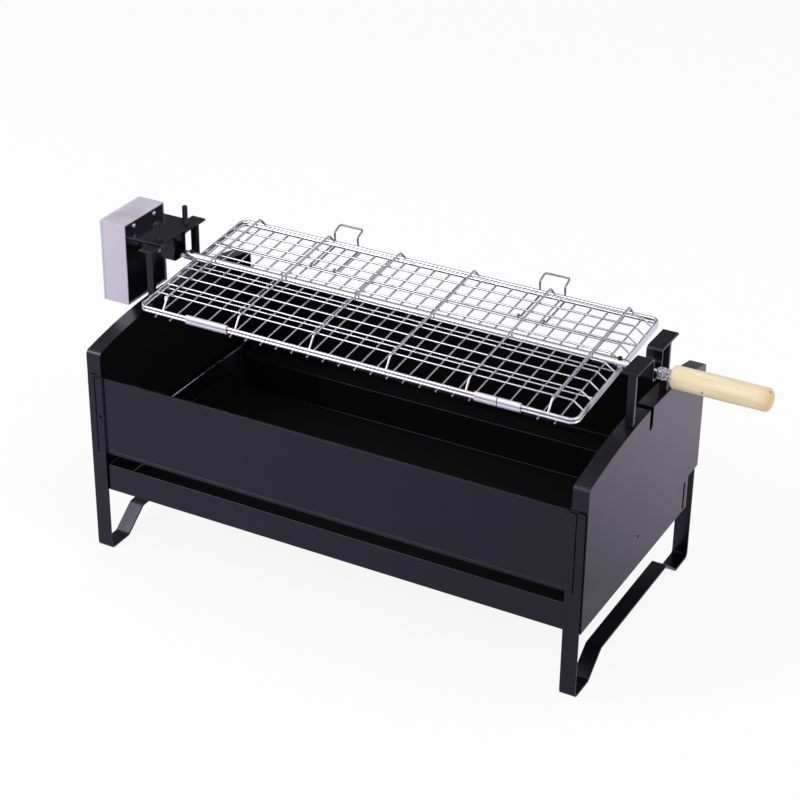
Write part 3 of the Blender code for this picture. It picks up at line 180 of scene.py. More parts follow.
for share, colour in ((greying, PAPER_RIGHT), (paling, PAPER_FAR), (card, BLACK_CARD)):
    links = {0: share.outputs[0], 6: tone, 7: linear(colour)}
    tone = add(tree, "Mix", links, data_type="RGBA").outputs[2]
ray = add(tree, "LightPath", {}).outputs
tone = add(tree, "Mix", {0: ray["Is Glossy Ray"], 6: WHITE, 7: tone}, data_type="RGBA")
glow = add(tree, "Emission", {"Color": tone.outputs[2], "Strength": 1.0})
seen = add(tree, "Math", {0: ray["Is Camera Ray"], 1: ray["Is Glossy Ray"]}, operation="MAXIMUM")
seen = add(tree, "Math", {0: seen.outputs[0], 1: ray["Is Transmission Ray"]}, operation="MAXIMUM")
share = add(tree, "Math", {0: seen.outputs[0], 1: 1.0 - PAPER_SHADOW}, operation="MULTIPLY")
mixed = add(tree, "MixShader", {0: share.outputs[0], 1: lit_paper.outputs[0], 2: glow.outputs[0]})
tree.links.new(mixed.outputs[0], tree.nodes["Material Output"].inputs["Surface"])
print("share of the floor that is white by itself:", 1.0 - PAPER_SHADOW)

# %% [markdown]
# The room round the set is white. The camera sees it as plain white. In reflections it is nearly
# white too, except for a dark flag that hangs behind the set: enamel that faces up mirrors the flag
# and stays black, while wires, which face all ways, mirror the white room. Diffuse surfaces get an
# even, weaker fill from all sides. A picture of a studio could light it as well, but this needs no
# file, and each part of it has its own number.

# %% Whiten the room
ROOM_FILL = 0.62
ROOM_TINT = "F3F0FC"
ROOM_WHITE = 0.95
FLAG_DARK = 0.18
FLAG_TOWARD = (-0.415, 0.772, 0.481)
FLAG_EDGE = (0.80, 0.95)
world = bpy.data.worlds.new("white_room")
bpy.context.scene.world = world
world.use_nodes = True
tree = world.node_tree
fill = tree.nodes["Background"]
fill.inputs["Color"].default_value = WHITE
fill.inputs["Strength"].default_value = ROOM_FILL
toward = add(tree, "TexCoord", {}).outputs["Generated"]
facing = add(tree, "VectorMath", {0: toward, 1: FLAG_TOWARD}, operation="DOT_PRODUCT")
flag = add(tree, "MapRange", {0: facing.outputs["Value"], 1: FLAG_EDGE[0], 2: FLAG_EDGE[1],
                              3: ROOM_WHITE, 4: FLAG_DARK})
mirrored = add(tree, "Background", {"Color": linear(ROOM_TINT), "Strength": flag.outputs[0]})
plain = add(tree, "Background", {"Color": WHITE, "Strength": 1.0})
ray = add(tree, "LightPath", {}).outputs
clear = {0: ray["Is Camera Ray"], 1: ray["Is Transmission Ray"]}
seen = add(tree, "Math", clear, operation="MAXIMUM")
room = add(tree, "MixShader", {0: ray["Is Glossy Ray"], 1: fill.outputs[0], 2: mirrored.outputs[0]})
room = add(tree, "MixShader", {0: seen.outputs[0], 1: room.outputs[0], 2: plain.outputs[0]})
tree.links.new(room.outputs[0], tree.nodes["World Output"].inputs["Surface"])
print("room:", world.name, "fill", ROOM_FILL)

# %% [markdown]
# Two soft boxes give the light a direction: the larger one stands to the left of the camera, and a
# weaker one on the right lifts the end panel. A sun would cast hard shadows, so both are wide area
# lamps, turned towards the middle of the firebox.

# %% Set up the soft boxes
AIM = Vector((0, 0, 0.2))
SOFT_BOXES = {"key_box": ((-1.5, -1.7, 2.1), 1.4, 28.0), "side_box": ((2.2, -0.4, 1.8), 1.2, 12.0)}
for name, (place, width, power) in SOFT_BOXES.items():
    bpy.ops.object.select_all(action="DESELECT")
    bpy.ops.object.light_add(type="AREA", location=place)
    lamp = bpy.context.object
    lamp.name = name
    lamp.data.size = width
    lamp.data.energy = power
    lamp.rotation_euler = (AIM - Vector(place)).to_track_quat("-Z", "Y").to_euler()
    print(name, power, "W")

# %% [markdown]
# An operator works on what is selected, so a few small helpers keep the selection in hand: one
# leaves edit mode and picks whole pieces, one goes into edit mode, and one selects the edges or
# faces that pass a test of place or direction. A mouse would do the same by eye, but a test still
# finds the right faces after a size has changed.

# %% Helpers for selecting
def pick(*pieces):
    if bpy.context.object and bpy.context.object.mode != "OBJECT":
        bpy.ops.object.mode_set(mode="OBJECT")
    bpy.ops.object.select_all(action="DESELECT")
    for piece in pieces:
        piece.select_set(True)
        bpy.context.view_layer.objects.active = piece


def edit(piece, kind="VERT", everything=True):
    pick(piece)
    bpy.ops.object.mode_set(mode="EDIT")
    bpy.ops.mesh.select_mode(type=kind)
    bpy.ops.mesh.select_all(action="SELECT" if everything else "DESELECT")


def select_where(piece, kind, test):
    edit(piece, kind, everything=False)
    bm = bmesh.from_edit_mesh(piece.data)
    chosen = [part for part in (bm.edges if kind == "EDGE" else bm.faces) if test(part)]
    for part in chosen:
        part.select_set(True)
    bm.select_flush_mode()
    bmesh.update_edit_mesh(piece.data)
    return len(chosen)


print("selected at the start:", len(bpy.context.selected_objects))

# %% [markdown]
# A finished piece has no live modifiers and sits at the origin, with its place in its mesh. So one
# helper adds a modifier and applies it at once, one smooths the shading up to an angle, and the
# last one settles the piece: its place goes into its mesh, it gets its finish, and it is tied to
# the body that it moves with.

# %% Helpers for finishing a piece
def apply_modifier(piece, kind, **settings):
    pick(piece)
    modifier = piece.modifiers.new(kind.lower(), kind)
    for name, value in settings.items():
        setattr(modifier, name, value)
    bpy.ops.object.modifier_apply(modifier=modifier.name)


def smooth(piece, degrees=35):
    pick(piece)
    bpy.ops.object.shade_smooth_by_angle(angle=math.radians(degrees))


def apply_place(piece):
    pick(piece)
    bpy.ops.object.transform_apply(location=True, rotation=True, scale=True)


def settle(piece, name, body, finish, slot, *nodes):
    apply_place(piece)
    piece.name = name
    piece.data.name = name
    piece.data.materials.clear()
    piece.data.materials.append(finish)
    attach(piece, body)
    if nodes:
        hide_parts(*nodes)
    print(name, "on", body, len(piece.data.polygons), "faces")
    return piece


print("bodies to ride on:", sorted(set(BODY_OF.values())))

# %% [markdown]
# Most of the roaster is steel sheet with a stoved black enamel. Sprayed enamel is nearly a mirror
# with a faint orange peel, its gloss varies from place to place, and a few specks of dust are baked
# in. It is almost black and slightly violet, and what the eye sees of it is mainly the pale floor
# reflected in it. A flat black would be quicker but look like plastic, so the clouds, the dust and
# the peel are three noises, each of its own size.

# %% Black enamel
ENAMEL_DARK, ENAMEL_PALE, ENAMEL_DUST = "09090B", "0E0D11", "3B3942"
CLOUD_MM, DUST_MM, PEEL_MM = 45.0, 1.4, 2.4
DUST_SPREAD, DUST_SHARE = (0.735, 0.80), 0.7
ENAMEL_GLOSS = (0.20, 0.25)
NOISE_SPREAD = (0.3, 0.7)
enamel, tree, shader = new_finish("stoved_black_enamel")
place = add(tree, "TexCoord", {}).outputs["Object"]
cloud = add(tree, "TexNoise", {"Vector": place, "Scale": per(CLOUD_MM), "Detail": 3.0}).outputs["Fac"]
grain = add(tree, "TexNoise", {"Vector": place, "Scale": per(DUST_MM), "Detail": 1.0}).outputs["Fac"]
peel = add(tree, "TexNoise", {"Vector": place, "Scale": per(PEEL_MM), "Detail": 1.0}).outputs["Fac"]
dust = add(tree, "MapRange", {0: grain, 1: DUST_SPREAD[0], 2: DUST_SPREAD[1], 4: DUST_SHARE})
tone = linear(ENAMEL_DARK)
for share, colour in ((cloud, ENAMEL_PALE), (dust.outputs[0], ENAMEL_DUST)):
    tone = add(tree, "Mix", {0: share, 6: tone, 7: linear(colour)}, data_type="RGBA").outputs[2]
gloss = add(tree, "MapRange", {0: cloud, 1: NOISE_SPREAD[0], 2: NOISE_SPREAD[1],
                               3: ENAMEL_GLOSS[0], 4: ENAMEL_GLOSS[1]})
bump = add(tree, "Bump", {"Height": peel, "Strength": 0.03, "Distance": 0.0004})
tree.links.new(tone, shader.inputs["Base Color"])
tree.links.new(gloss.outputs[0], shader.inputs["Roughness"])
tree.links.new(bump.outputs[0], shader.inputs["Normal"])
shader.inputs["IOR"].default_value = 1.57
shader.inputs["Specular Tint"].default_value = linear("E9E4FF")
print("finish:", enamel.name)

# %% [markdown]
# Inside the firebox the enamel gets a darker, rougher finish that reflects less. Its darkness is
# painted shade: it swallows the light and makes the box look deep. Many finishes below are built like
# this one: a single noise lays two tones in soft clouds and makes the gloss uneven in the same places.
# So one function mixes them all, and each finish gives it the size of its clouds, its tones, its gloss
# and how much of a metal it is. A gloss that is even all over is set on the shader itself.

# %% Painted shade inside the firebox
def clouded_finish(name, cloud_mm, detail, tones, gloss, metal=1.0):
    finish, tree, shader = new_finish(name)
    place = add(tree, "TexCoord", {}).outputs["Object"]
    cloud = add(tree, "TexNoise", {"Vector": place, "Scale": per(cloud_mm), "Detail": detail})
    cloud = cloud.outputs["Fac"]
    dark, pale = linear(tones[0]), linear(tones[1])
    tone = add(tree, "Mix", {0: cloud, 6: dark, 7: pale}, data_type="RGBA")
    tree.links.new(tone.outputs[2], shader.inputs["Base Color"])
    if isinstance(gloss, tuple):
        ends = {1: NOISE_SPREAD[0], 2: NOISE_SPREAD[1], 3: gloss[0], 4: gloss[1]}
        uneven = add(tree, "MapRange", {0: cloud, **ends})
        tree.links.new(uneven.outputs[0], shader.inputs["Roughness"])
    else:
        shader.inputs["Roughness"].default_value = gloss
    shader.inputs["Metallic"].default_value = metal
    print("finish:", name)
    return finish


# Painted shade for the faces inside the firebox: a darker enamel that reflects less.
firebox_painted_shade = clouded_finish("firebox_painted_shade_enamel", 28.0, 4.0, ("060607", "0C0C0D"), (0.70, 0.86),
                        metal=0.0)
shader = firebox_painted_shade.node_tree.nodes["Principled BSDF"]
shader.inputs["Specular IOR Level"].default_value = 0.12

# %% [markdown]
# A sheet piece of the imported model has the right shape, but its edges are perfectly sharp, and a
# real folded edge catches a thin line of light. The piece could be modelled again from a plane and
# Solidify, but a copy stays true to the model: its loose triangles are merged into one mesh, its
# flat faces are made whole, and a narrow bevel rounds its edges.

# %% Helpers to copy a node and soften its edges
MERGE = 1e-6
FLAT_DEGREES = 0.5


def copy_node(node):
    piece = bpy.data.objects.new(node + "_copy", frame["nodes"][node].data.copy())
    bpy.context.scene.collection.objects.link(piece)
    edit(piece)
    bpy.ops.mesh.remove_doubles(threshold=MERGE)
    bpy.ops.mesh.dissolve_limited(angle_limit=math.radians(FLAT_DEGREES))
    return piece


def soften(piece, radius, degrees=30, rounds=2):
    apply_modifier(piece, "BEVEL", width=radius, segments=rounds, limit_method="ANGLE",
                   angle_limit=math.radians(degrees), use_clamp_overlap=True)
    edit(piece)
    bpy.ops.mesh.dissolve_degenerate(threshold=MERGE)
    smooth(piece)
    apply_modifier(piece, "WEIGHTED_NORMAL", keep_sharp=True)
    return piece


print("points closer than", MERGE, "m are merged")

# %% [markdown]
# The plain sheet pieces come first: saddles and uprights for the spit, the motor bracket, the tray
# with its runners, and the two long panels. Those that line the firebox get the painted shade on their
# inner faces. Picked by number, those faces would be lost with the next bevel, so they are found by
# their place, and the narrow faces of the rounded edges are passed over, so that they keep the glossy
# enamel and its thin highlights.

# %% Soften the sheet pieces
FIREBOX_LOW = (-0.3315, -0.1526, 0.0795)
FIREBOX_HIGH = (0.2669, 0.1550)
FIREBOX_TOP = 0.2196
EDGE_WIDTH = 0.001


def in_firebox(face, top=FIREBOX_TOP):
    middle = face.calc_center_median()
    high = (*FIREBOX_HIGH, top)
    inside = all(FIREBOX_LOW[k] < middle[k] < high[k] for k in range(3))
    return inside and 2 * face.calc_area() / face.calc_perimeter() > EDGE_WIDTH


def dress_faces(piece, finish, test):
    piece.data.materials.append(finish)
    count = select_where(piece, "FACE", test)
    piece.active_material_index = len(piece.data.materials) - 1
    bpy.ops.object.material_slot_assign()
    pick(piece)
    print(count, "faces get", finish.name)


EDGE_RADIUS = {"saddle": 0.0006, "bracket": 0.0005, "upright": 0.0009, "runner": 0.0003,
               "tray": 0.0005, "panel": 0.00055}
SHEET_NODES = ["left_saddle", "right_saddle", "motor_bracket"]
SHEET_NODES += [side + end + "_upright" for side in ("left_", "right_") for end in ("front", "rear")]
SHEET_NODES += ["left_tray_runner", "right_tray_runner", "ash_tray", "front_panel", "back_panel"]
for node in SHEET_NODES:
    kind = node.split("_")[-1]
    piece = soften(copy_node(node), EDGE_RADIUS[kind])
    settle(piece, "enamelled_" + node, BODY_OF[node], enamel, "enamel", node)
    # Faces inside the firebox get the painted shade.
    if kind == "runner":
        dress_faces(piece, firebox_painted_shade, lambda face: in_firebox(face) and face.normal.z < 0.9)
    elif kind in ("panel", "tray"):
        dress_faces(piece, firebox_painted_shade, in_firebox)

# %% [markdown]
# The two end panels are pressed pans: a flat web with a flange folded all round it. The fold has a
# bend radius that a plain edge bevel would make too small, so the outer edges of the web are chosen
# by their place and rounded by themselves. The top corners of the flange are rounded wider, and
# the lips of the notch at the crown a little.

# %% Press the end panels
SHEET_EDGE = 0.0003
FOLD_RADIUS = 0.0022
CORNER_ROUND = 0.0045
NOTCH_ROUND = 0.0009
NOTCH_HALF = 0.006
NOTCH_FLOOR = 0.2655
TOP_CORNERS = (0.245, 0.2495)
SIDE_REACH = 0.002
RIM = 0.004
ARCH_FOOT = 0.2445
WEB_TOP = 0.235


def near(a, b, gap=1e-5):
    return abs(a - b) < gap


def runs_across(edge):
    a, b = edge.verts[0].co, edge.verts[1].co
    return near(a.y, b.y) and near(a.z, b.z) and not near(a.x, b.x, 0.01)


for node in ("left_end_panel", "right_end_panel"):
    low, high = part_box(node)
    web = low[0] if node.startswith("left") else high[0]
    crown = (low[1] + high[1]) / 2
    piece = copy_node(node)

    def at_top_corner(edge):
        y, z = edge.verts[0].co.yz
        at_side = min(y - low[1], high[1] - y) < SIDE_REACH
        return runs_across(edge) and at_side and TOP_CORNERS[0] < z < TOP_CORNERS[1]

    def at_notch(edge):
        y, z = edge.verts[0].co.yz
        return runs_across(edge) and near(y, crown, NOTCH_HALF) and z > NOTCH_FLOOR

    def on_rim(edge):
        on_web = all(near(v.co.x, web) for v in edge.verts)
        steep = len(edge.link_faces) == 2 and edge.calc_face_angle(0.0) > math.radians(60)
        y, z = ((edge.verts[0].co + edge.verts[1].co) / 2).yz
        inside = low[1] + RIM < y < high[1] - RIM and low[2] + RIM < z < ARCH_FOOT
        return on_web and steep and not inside and not near(y, crown, NOTCH_HALF)

    for test, radius, rounds in ((at_top_corner, CORNER_ROUND, 5), (at_notch, NOTCH_ROUND, 3),
                                 (on_rim, FOLD_RADIUS, 4)):
        count = select_where(piece, "EDGE", test)
        bpy.ops.mesh.bevel(offset=radius, segments=rounds, affect="EDGES", clamp_overlap=True)
        print(count, "edges rounded to", radius, "m")
    soften(piece, SHEET_EDGE)
    settle(piece, "pressed_" + node, BODY_OF[node], enamel, "enamel", node)
    # The web's faces inside the firebox get the painted shade.
    dress_faces(piece, firebox_painted_shade, lambda face: in_firebox(face, WEB_TOP))

# %% [markdown]
# Each leg frame is one flat bar bent into two feet. The bar's top ends are cut with rounded corners.
# Those corner edges run through the bar, so they are found as the edges at the top whose two ends
# share the same X and Z. Where the front panel laps over the bar, the bar has a shallow step. It
# could be drawn into the bar from the start, but a Boolean takes it out of the copy in one move.

# %% Round the leg frames
BAR_CORNER = 0.0035
BAR_EDGE = 0.0004
PANEL_LAP = 0.0082
PANEL_SHEET = 0.0012
LAP_GAP = 0.0004
LAP_GROOVE = 0.0014
CLEAR = 0.001


def cut(piece, tool):
    apply_modifier(piece, "BOOLEAN", operation="DIFFERENCE", solver="EXACT", object=tool)
    pick(tool)
    bpy.ops.object.delete()


def box_between(low, high):
    pick()
    bpy.ops.mesh.primitive_cube_add(size=1.0, location=(Vector(low) + Vector(high)) / 2)
    piece = bpy.context.object
    piece.scale = Vector(high) - Vector(low)
    apply_place(piece)
    return piece


panel_low, panel_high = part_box("front_panel")
for node in ("left_leg", "right_leg"):
    low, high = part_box(node)
    piece = copy_node(node)

    def at_top_corner(edge):
        a, b = edge.verts[0].co, edge.verts[1].co
        return near(a.x, b.x) and near(a.z, b.z) and near(a.z, high[2])

    count = select_where(piece, "EDGE", at_top_corner)
    bpy.ops.mesh.bevel(offset=BAR_CORNER, segments=5, affect="EDGES", clamp_overlap=True)
    lap = PANEL_LAP + LAP_GROOVE
    ends = (high[0] - lap, high[0] + CLEAR) if node == "left_leg" else (low[0] - CLEAR, low[0] + lap)
    step_low = (ends[0], low[1] - CLEAR, panel_low[2] - LAP_GAP)
    step_high = (ends[1], low[1] + PANEL_SHEET + LAP_GAP, high[2] + CLEAR)
    cut(piece, box_between(step_low, step_high))
    soften(piece, BAR_EDGE)
    settle(piece, "bent_" + node, BODY_OF[node], enamel, "enamel", node)
    print(count, "top corners rounded")

# %% [markdown]
# The front panel's two ends are joggled: they step forward and lap over the legs, and their edges
# show as thin dark lines. Each lap starts as a box, and its inner side is extruded back and inwards,
# down to the panel. It could be bent out of the panel's own mesh, but then the panel would no longer
# match its node. The left lap has a small hole.

# %% Lap the front panel over the legs
JOGGLE = 0.0012
LAP_TUCK = 0.0002
LAP_SINK = 0.0003
HOLE_RADIUS = 0.0019
HOLE_CUTTER = 0.006
HOLE_IN = 0.0035
HOLE_HEIGHT = 0.1724
for side, sign in (("left", -1), ("right", 1)):
    low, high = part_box(side + "_leg")
    inner = high[0] if side == "left" else low[0]
    ends = sorted((inner - sign * LAP_TUCK, inner + sign * PANEL_LAP))
    lap = box_between((ends[0], low[1], panel_low[2]),
                      (ends[1], low[1] + PANEL_SHEET, panel_high[2]))
    select_where(lap, "FACE", lambda face: face.normal.x * sign < -0.9)
    step = (-sign * JOGGLE, panel_low[1] - low[1] + LAP_SINK, 0)
    bpy.ops.mesh.extrude_region_move(TRANSFORM_OT_translate={"value": step})
    edit(lap)
    bpy.ops.mesh.normals_make_consistent(inside=False)
    if side == "left":
        pick()
        bpy.ops.mesh.primitive_cylinder_add(vertices=20, radius=HOLE_RADIUS, depth=HOLE_CUTTER,
                                            location=(inner - HOLE_IN, low[1], HOLE_HEIGHT),
                                            rotation=(math.pi / 2, 0, 0))
        cut(lap, bpy.context.object)
    settle(soften(lap, SHEET_EDGE), side + "_panel_lap", "stand", enamel, "enamel")

# %% [markdown]
# The lower corners of the back panel are closed with a little weld metal under the enamel. Sculpting
# would give a finer bead, but at this size a coarse ball is enough: it is squeezed into the corner,
# and its points are pushed about at random, with a fixed seed.

# %% Weld the back corners
LUMP_HALF = (0.0026, 0.0014, 0.0013)
LUMP_IN = (0.0027, 0.0031, 0.0014)
LUMP_SWAY = 0.0002


def weld_lump(place, half, rounds, sway, seed):
    pick()
    bpy.ops.mesh.primitive_ico_sphere_add(subdivisions=rounds, radius=1.0, location=place)
    lump = bpy.context.object
    lump.scale = half
    apply_place(lump)
    edit(lump)
    bpy.ops.transform.vertex_random(offset=sway, seed=seed)
    pick(lump)
    return lump


low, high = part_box("back_panel")
lumps = []
for x in (low[0] + LUMP_IN[0], high[0] - LUMP_IN[0]):
    corner = (x, high[1] - LUMP_IN[1], low[2] + LUMP_IN[2])
    lumps.append(weld_lump(corner, LUMP_HALF, 2, LUMP_SWAY, seed=3))
pick(*lumps)
bpy.ops.object.join()
smooth(bpy.context.object, 60)
settle(bpy.context.object, "back_corner_welds", "stand", enamel, "enamel")

# %% [markdown]
# Turned parts are drawn as half a profile and spun round their axis. The chain of the profile starts
# as a plane merged into one point, and each next point is extruded from the last, as when drawing
# by hand. The two posts that keep the motor bracket on its saddle are the first of them: a pin
# with a round top and a small collar at its foot. A cylinder with bevels would do for the pin, but
# not for the collar.

# %% Turn the hanger posts
COLLAR = 0.0003
COLLAR_RUN = (0.0026, 0.0032)
POST_ROUND = 0.001


def draw_chain(points):
    pick()
    bpy.ops.mesh.primitive_plane_add(size=0.001, location=(0, 0, 0))
    piece = bpy.context.object
    edit(piece)
    bpy.ops.mesh.merge(type="CENTER")
    bpy.ops.transform.translate(value=Vector(points[0]))
    for start, end in zip(points, points[1:]):
        step = Vector(end) - Vector(start)
        bpy.ops.mesh.extrude_region_move(TRANSFORM_OT_translate={"value": step})
    return piece


def turn_piece(profile, centre, axis, steps=48):
    along, side = Vector((1, 0, 0)), Vector((0, 0, 1))
    if axis == "Z":
        along, side = side, along
    piece = draw_chain([Vector(centre) + along * run + side * radius for run, radius in profile])
    edit(piece)
    bpy.ops.mesh.spin(steps=steps, angle=2 * math.pi, center=centre, axis=along)
    edit(piece)
    bpy.ops.mesh.remove_doubles(threshold=MERGE)
    bpy.ops.mesh.normals_make_consistent(inside=False)
    smooth(piece)
    return piece


def rounded_end(run, radius, curve, steps=6):
    points = []
    for k in range(steps + 1):
        angle = math.pi / 2 * k / steps
        back, down = curve * (1 - math.sin(angle)), curve * (1 - math.cos(angle))
        points.append((run - back, radius - down))
    return points


for node in ("front_hanger_post", "rear_hanger_post"):
    low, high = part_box(node)
    centre = ((low[0] + high[0]) / 2, (low[1] + high[1]) / 2, low[2])
    radius = (high[0] - low[0]) / 2
    tall = high[2] - low[2]
    profile = [(0, 0), (0, radius), (COLLAR_RUN[0], radius), (COLLAR_RUN[1], radius - COLLAR)]
    profile += rounded_end(tall, radius - COLLAR, POST_ROUND) + [(tall, 0)]
    post = turn_piece(profile, centre, "Z")
    settle(post, "turned_" + node, BODY_OF[node], enamel, "enamel", node)

# %% [markdown]
# The motor sits in a box folded from brushed stainless sheet. Brushing leaves fine parallel
# scratches that spread highlights across them, so the eye sees a soft grey metal. An anisotropic
# shader would give the spread but no scratches, so a noise is stretched into streaks, drawn a
# little coarser than the real ones so that they show at all.

# %% Brushed stainless sheet
BRUSH_MM, STROKE_MM, SMEAR_MM = 0.9, 60.0, 30.0
BRUSHED_GLOSS = (0.58, 0.70)
stainless, tree, shader = new_finish("brushed_stainless_sheet")
place = add(tree, "TexCoord", {}).outputs["Object"]
stretch = (per(BRUSH_MM), per(STROKE_MM), per(BRUSH_MM))
drawn = add(tree, "Mapping", {"Vector": place, "Scale": stretch}).outputs[0]
streak = add(tree, "TexNoise", {"Vector": drawn, "Scale": 1.0, "Detail": 2.0}).outputs["Fac"]
smear = add(tree, "TexNoise", {"Vector": place, "Scale": per(SMEAR_MM), "Detail": 2.0}).outputs["Fac"]
tone = add(tree, "Mix", {0: streak, 6: linear("E8E4EC"), 7: linear("F3EFF7")}, data_type="RGBA")
gloss = add(tree, "MapRange", {0: smear, 1: NOISE_SPREAD[0], 2: NOISE_SPREAD[1],
                               3: BRUSHED_GLOSS[0], 4: BRUSHED_GLOSS[1]})
bump = add(tree, "Bump", {"Height": streak, "Strength": 0.12, "Distance": 0.0002})
tree.links.new(tone.outputs[2], shader.inputs["Base Color"])
tree.links.new(gloss.outputs[0], shader.inputs["Roughness"])
tree.links.new(bump.outputs[0], shader.inputs["Normal"])
shader.inputs["Metallic"].default_value = 1.0
print("finish:", stainless.name)

# %% [markdown]
# The cover is a shallow tray of sheet with an end cap let into it. The joint between the two shows
# as a thin line near the outer edge. It could be a gap between two pieces, but one piece is simpler:
# the side walls are cut twice near that edge, and the band between the cuts is pushed in.

# %% Fold the motor cover
JOINT = (0.0020, 0.0031)
JOINT_DEPTH = 0.0008
COVER_EDGE = 0.0002
low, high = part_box("motor_cover")
piece = copy_node("motor_cover")
for run in JOINT:
    edit(piece)
    bpy.ops.mesh.bisect(plane_co=(low[0] + run, 0, 0), plane_no=(1, 0, 0))


def in_joint(face):
    middle = face.calc_center_median()
    outside = any(near(middle[k], side[k], 1e-4) for k in (1, 2) for side in (low, high))
    return outside and low[0] + JOINT[0] < middle.x < low[0] + JOINT[1]


count = select_where(piece, "FACE", in_joint)
bpy.ops.mesh.extrude_region_shrink_fatten(TRANSFORM_OT_shrink_fatten={"value": -JOINT_DEPTH})
soften(piece, COVER_EDGE, degrees=40)
settle(piece, "folded_motor_cover", BODY_OF["motor_cover"], stainless, "brushed_sheet", "motor_cover")
print(count, "faces in the joint")

# %% [markdown]
# Zinc plating covers the screws. It gives the eye a bright bluish metal with a faint haze. The
# cover's two screws have a domed head with a cross recess: the head is turned, and the cross is cut
# with a Boolean from two crossed bars, the way the real recess is punched. Drawn on as a dark cross,
# it would be a colour only and no part of the mesh.

# %% Zinc and the cover screws
CROSS = (0.0032, 0.0007)
CROSS_DEPTH = 0.0018
HEAD_TALL = 0.002
zinc = clouded_finish("bright_zinc_plate", 1.5, 3.0, ("C3C6CE", "E2E4EA"), (0.16, 0.34))
for node in ("front_cover_screw", "rear_cover_screw"):
    low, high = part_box(node)
    y, z = (low[1] + high[1]) / 2, (low[2] + high[2]) / 2
    head = (high[1] - low[1]) / 2
    shank = head * 0.625
    crown = high[0] - low[0]
    profile = [(0, 0), (0.0006, shank * 0.8)]
    profile += [(crown - HEAD_TALL, shank), (crown - HEAD_TALL, head)]
    profile += [(crown - 0.0014, head), (crown - 0.0007, head * 0.86)]
    profile += [(crown - 0.0002, head * 0.55), (crown, 0)]
    screw = turn_piece(profile, (low[0], y, z), "X", steps=32)
    for width, tall in (CROSS, CROSS[::-1]):
        pick()
        bpy.ops.mesh.primitive_cube_add(size=1.0, location=(high[0], y, z))
        bar = bpy.context.object
        bar.scale = (CROSS_DEPTH, width, tall)
        cut(screw, bar)
    smooth(screw)
    settle(screw, "domed_" + node, BODY_OF[node], zinc, "zinc", node)

# %% [markdown]
# The wires of the basket are steel, plated with bright chrome. Chrome is a clean cold mirror with
# only a little haze, so it shows the white room as white and the dark firebox as black. The thin
# wires get a darker copy of the chrome, which is painted shade, so that they look greyer. A perfect
# mirror would be simpler still, but real plating is never quite even.

# %% Chrome plated wire
chrome = clouded_finish("bright_chrome_plate", 6.0, 3.0, ("D9D8DD", "F1F0F4"), (0.10, 0.24))
# A darker copy of the chrome for the thin wires: painted shade.
shaded_thin_wire_chrome = clouded_finish("thin_wire_painted_shade_chrome", 4.0, 3.0, ("BAB9BF", "DAD9DF"), (0.10, 0.20))

# %% [markdown]
# The basket is drawn flat, in its own frame: x along the spit, y across it, and z up from the spit's
# axis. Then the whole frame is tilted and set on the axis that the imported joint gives. Drawn where
# it stands, every wire would need the tilt in its numbers.

# %% Set up the basket's frame
BASKET_TILT = math.radians(5.4)
joints = {joint["name"]: joint for joint in frame["joints"]}
spit_axis = Vector(joints["spit_turn"]["pos_m"])
basket_x = joints["basket_open"]["pos_m"][0]
BASKET = Matrix.Translation((basket_x, *spit_axis.yz)) @ Matrix.Rotation(BASKET_TILT, 4, "X")
print("spit axis at height", round(spit_axis.z, 4), "m")

# %% [markdown]
# The lips of the tray runners end in a thin bead, which the sliding tray keeps bright, so that it
# shows as a pale line in the dark firebox. It is the first of the wires: a chain of points turned
# into a curve, which gets a round section, and then into a mesh. A thin cylinder would do for this
# straight one, but the curve also follows the bent wires below.

# %% Run the beads along the runner lips
LIP_EDGE = 0.29025
LIP_HEIGHT = 0.126
LIP_SHORT = 0.001
BEAD_RADIUS = 0.0012


def round_wire(piece, radius, sides=3):
    pick(piece)
    bpy.ops.object.convert(target="CURVE")
    piece.data.bevel_depth = radius
    piece.data.bevel_resolution = sides
    piece.data.use_fill_caps = True
    bpy.ops.object.convert(target="MESH")
    edit(piece)
    bpy.ops.mesh.remove_doubles(threshold=MERGE)
    bpy.ops.mesh.normals_make_consistent(inside=False)
    smooth(piece, 50)
    return piece


for side, sign in (("left", -1), ("right", 1)):
    node = side + "_tray_runner"
    low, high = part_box(node)
    x = basket_x + sign * LIP_EDGE
    lip = draw_chain([(x, y, LIP_HEIGHT) for y in (low[1] + LIP_SHORT, high[1] - LIP_SHORT)])
    bead = round_wire(lip, BEAD_RADIUS, 4)
    settle(bead, side + "_lip_bead", BODY_OF[node], zinc, "zinc")

# %% [markdown]
# Each half of the basket has a border: one thick wire bent into a loop with rounded corners and
# closed by a weld. A bevel could round the corners of the chain, but bending each corner to a
# radius, as on a bending jig, also serves the ribs and the latches.

# %% Bend the two border wires
BASKET_HALF = 0.26
BASKET_SIDE = 0.106
BASKET_CORNER = 0.008
FRAME_RADIUS = 0.0018
UPPER_N = -0.00712
LOWER_N = -0.01134


def bend(path, radius, steps=4):
    points = [Vector(path[0])]
    for before, corner, after in zip(path, path[1:], path[2:]):
        corner = Vector(corner)
        back = (Vector(before) - corner).normalized()
        ahead = (Vector(after) - corner).normalized()
        half = back.angle(ahead) / 2
        reach = radius / math.tan(half)
        centre = corner + (back + ahead).normalized() * (radius / math.sin(half))
        arm_a = corner + back * reach - centre
        arm_b = corner + ahead * reach - centre
        for k in range(steps + 1):
            points.append(centre + arm_a.lerp(arm_b, k / steps).normalized() * radius)
    return points + [Vector(path[-1])]


def border(n):
    x, y = BASKET_HALF, BASKET_SIDE
    corners = [(0, -y, n), (x, -y, n), (x, y, n), (-x, y, n), (-x, -y, n), (0, -y, n)]
    piece = draw_chain(bend(corners, BASKET_CORNER, 8))
    edit(piece)
    bpy.ops.mesh.remove_doubles(threshold=MERGE)
    piece = round_wire(piece, FRAME_RADIUS, 4)
    piece.matrix_world = BASKET
    return piece


settle(border(UPPER_N), "upper_border_wire", "spit", chrome, "chrome_wire", "upper_border")
settle(border(LOWER_N), "lower_border_wire", "lower_half", chrome, "chrome_wire", "lower_basket")

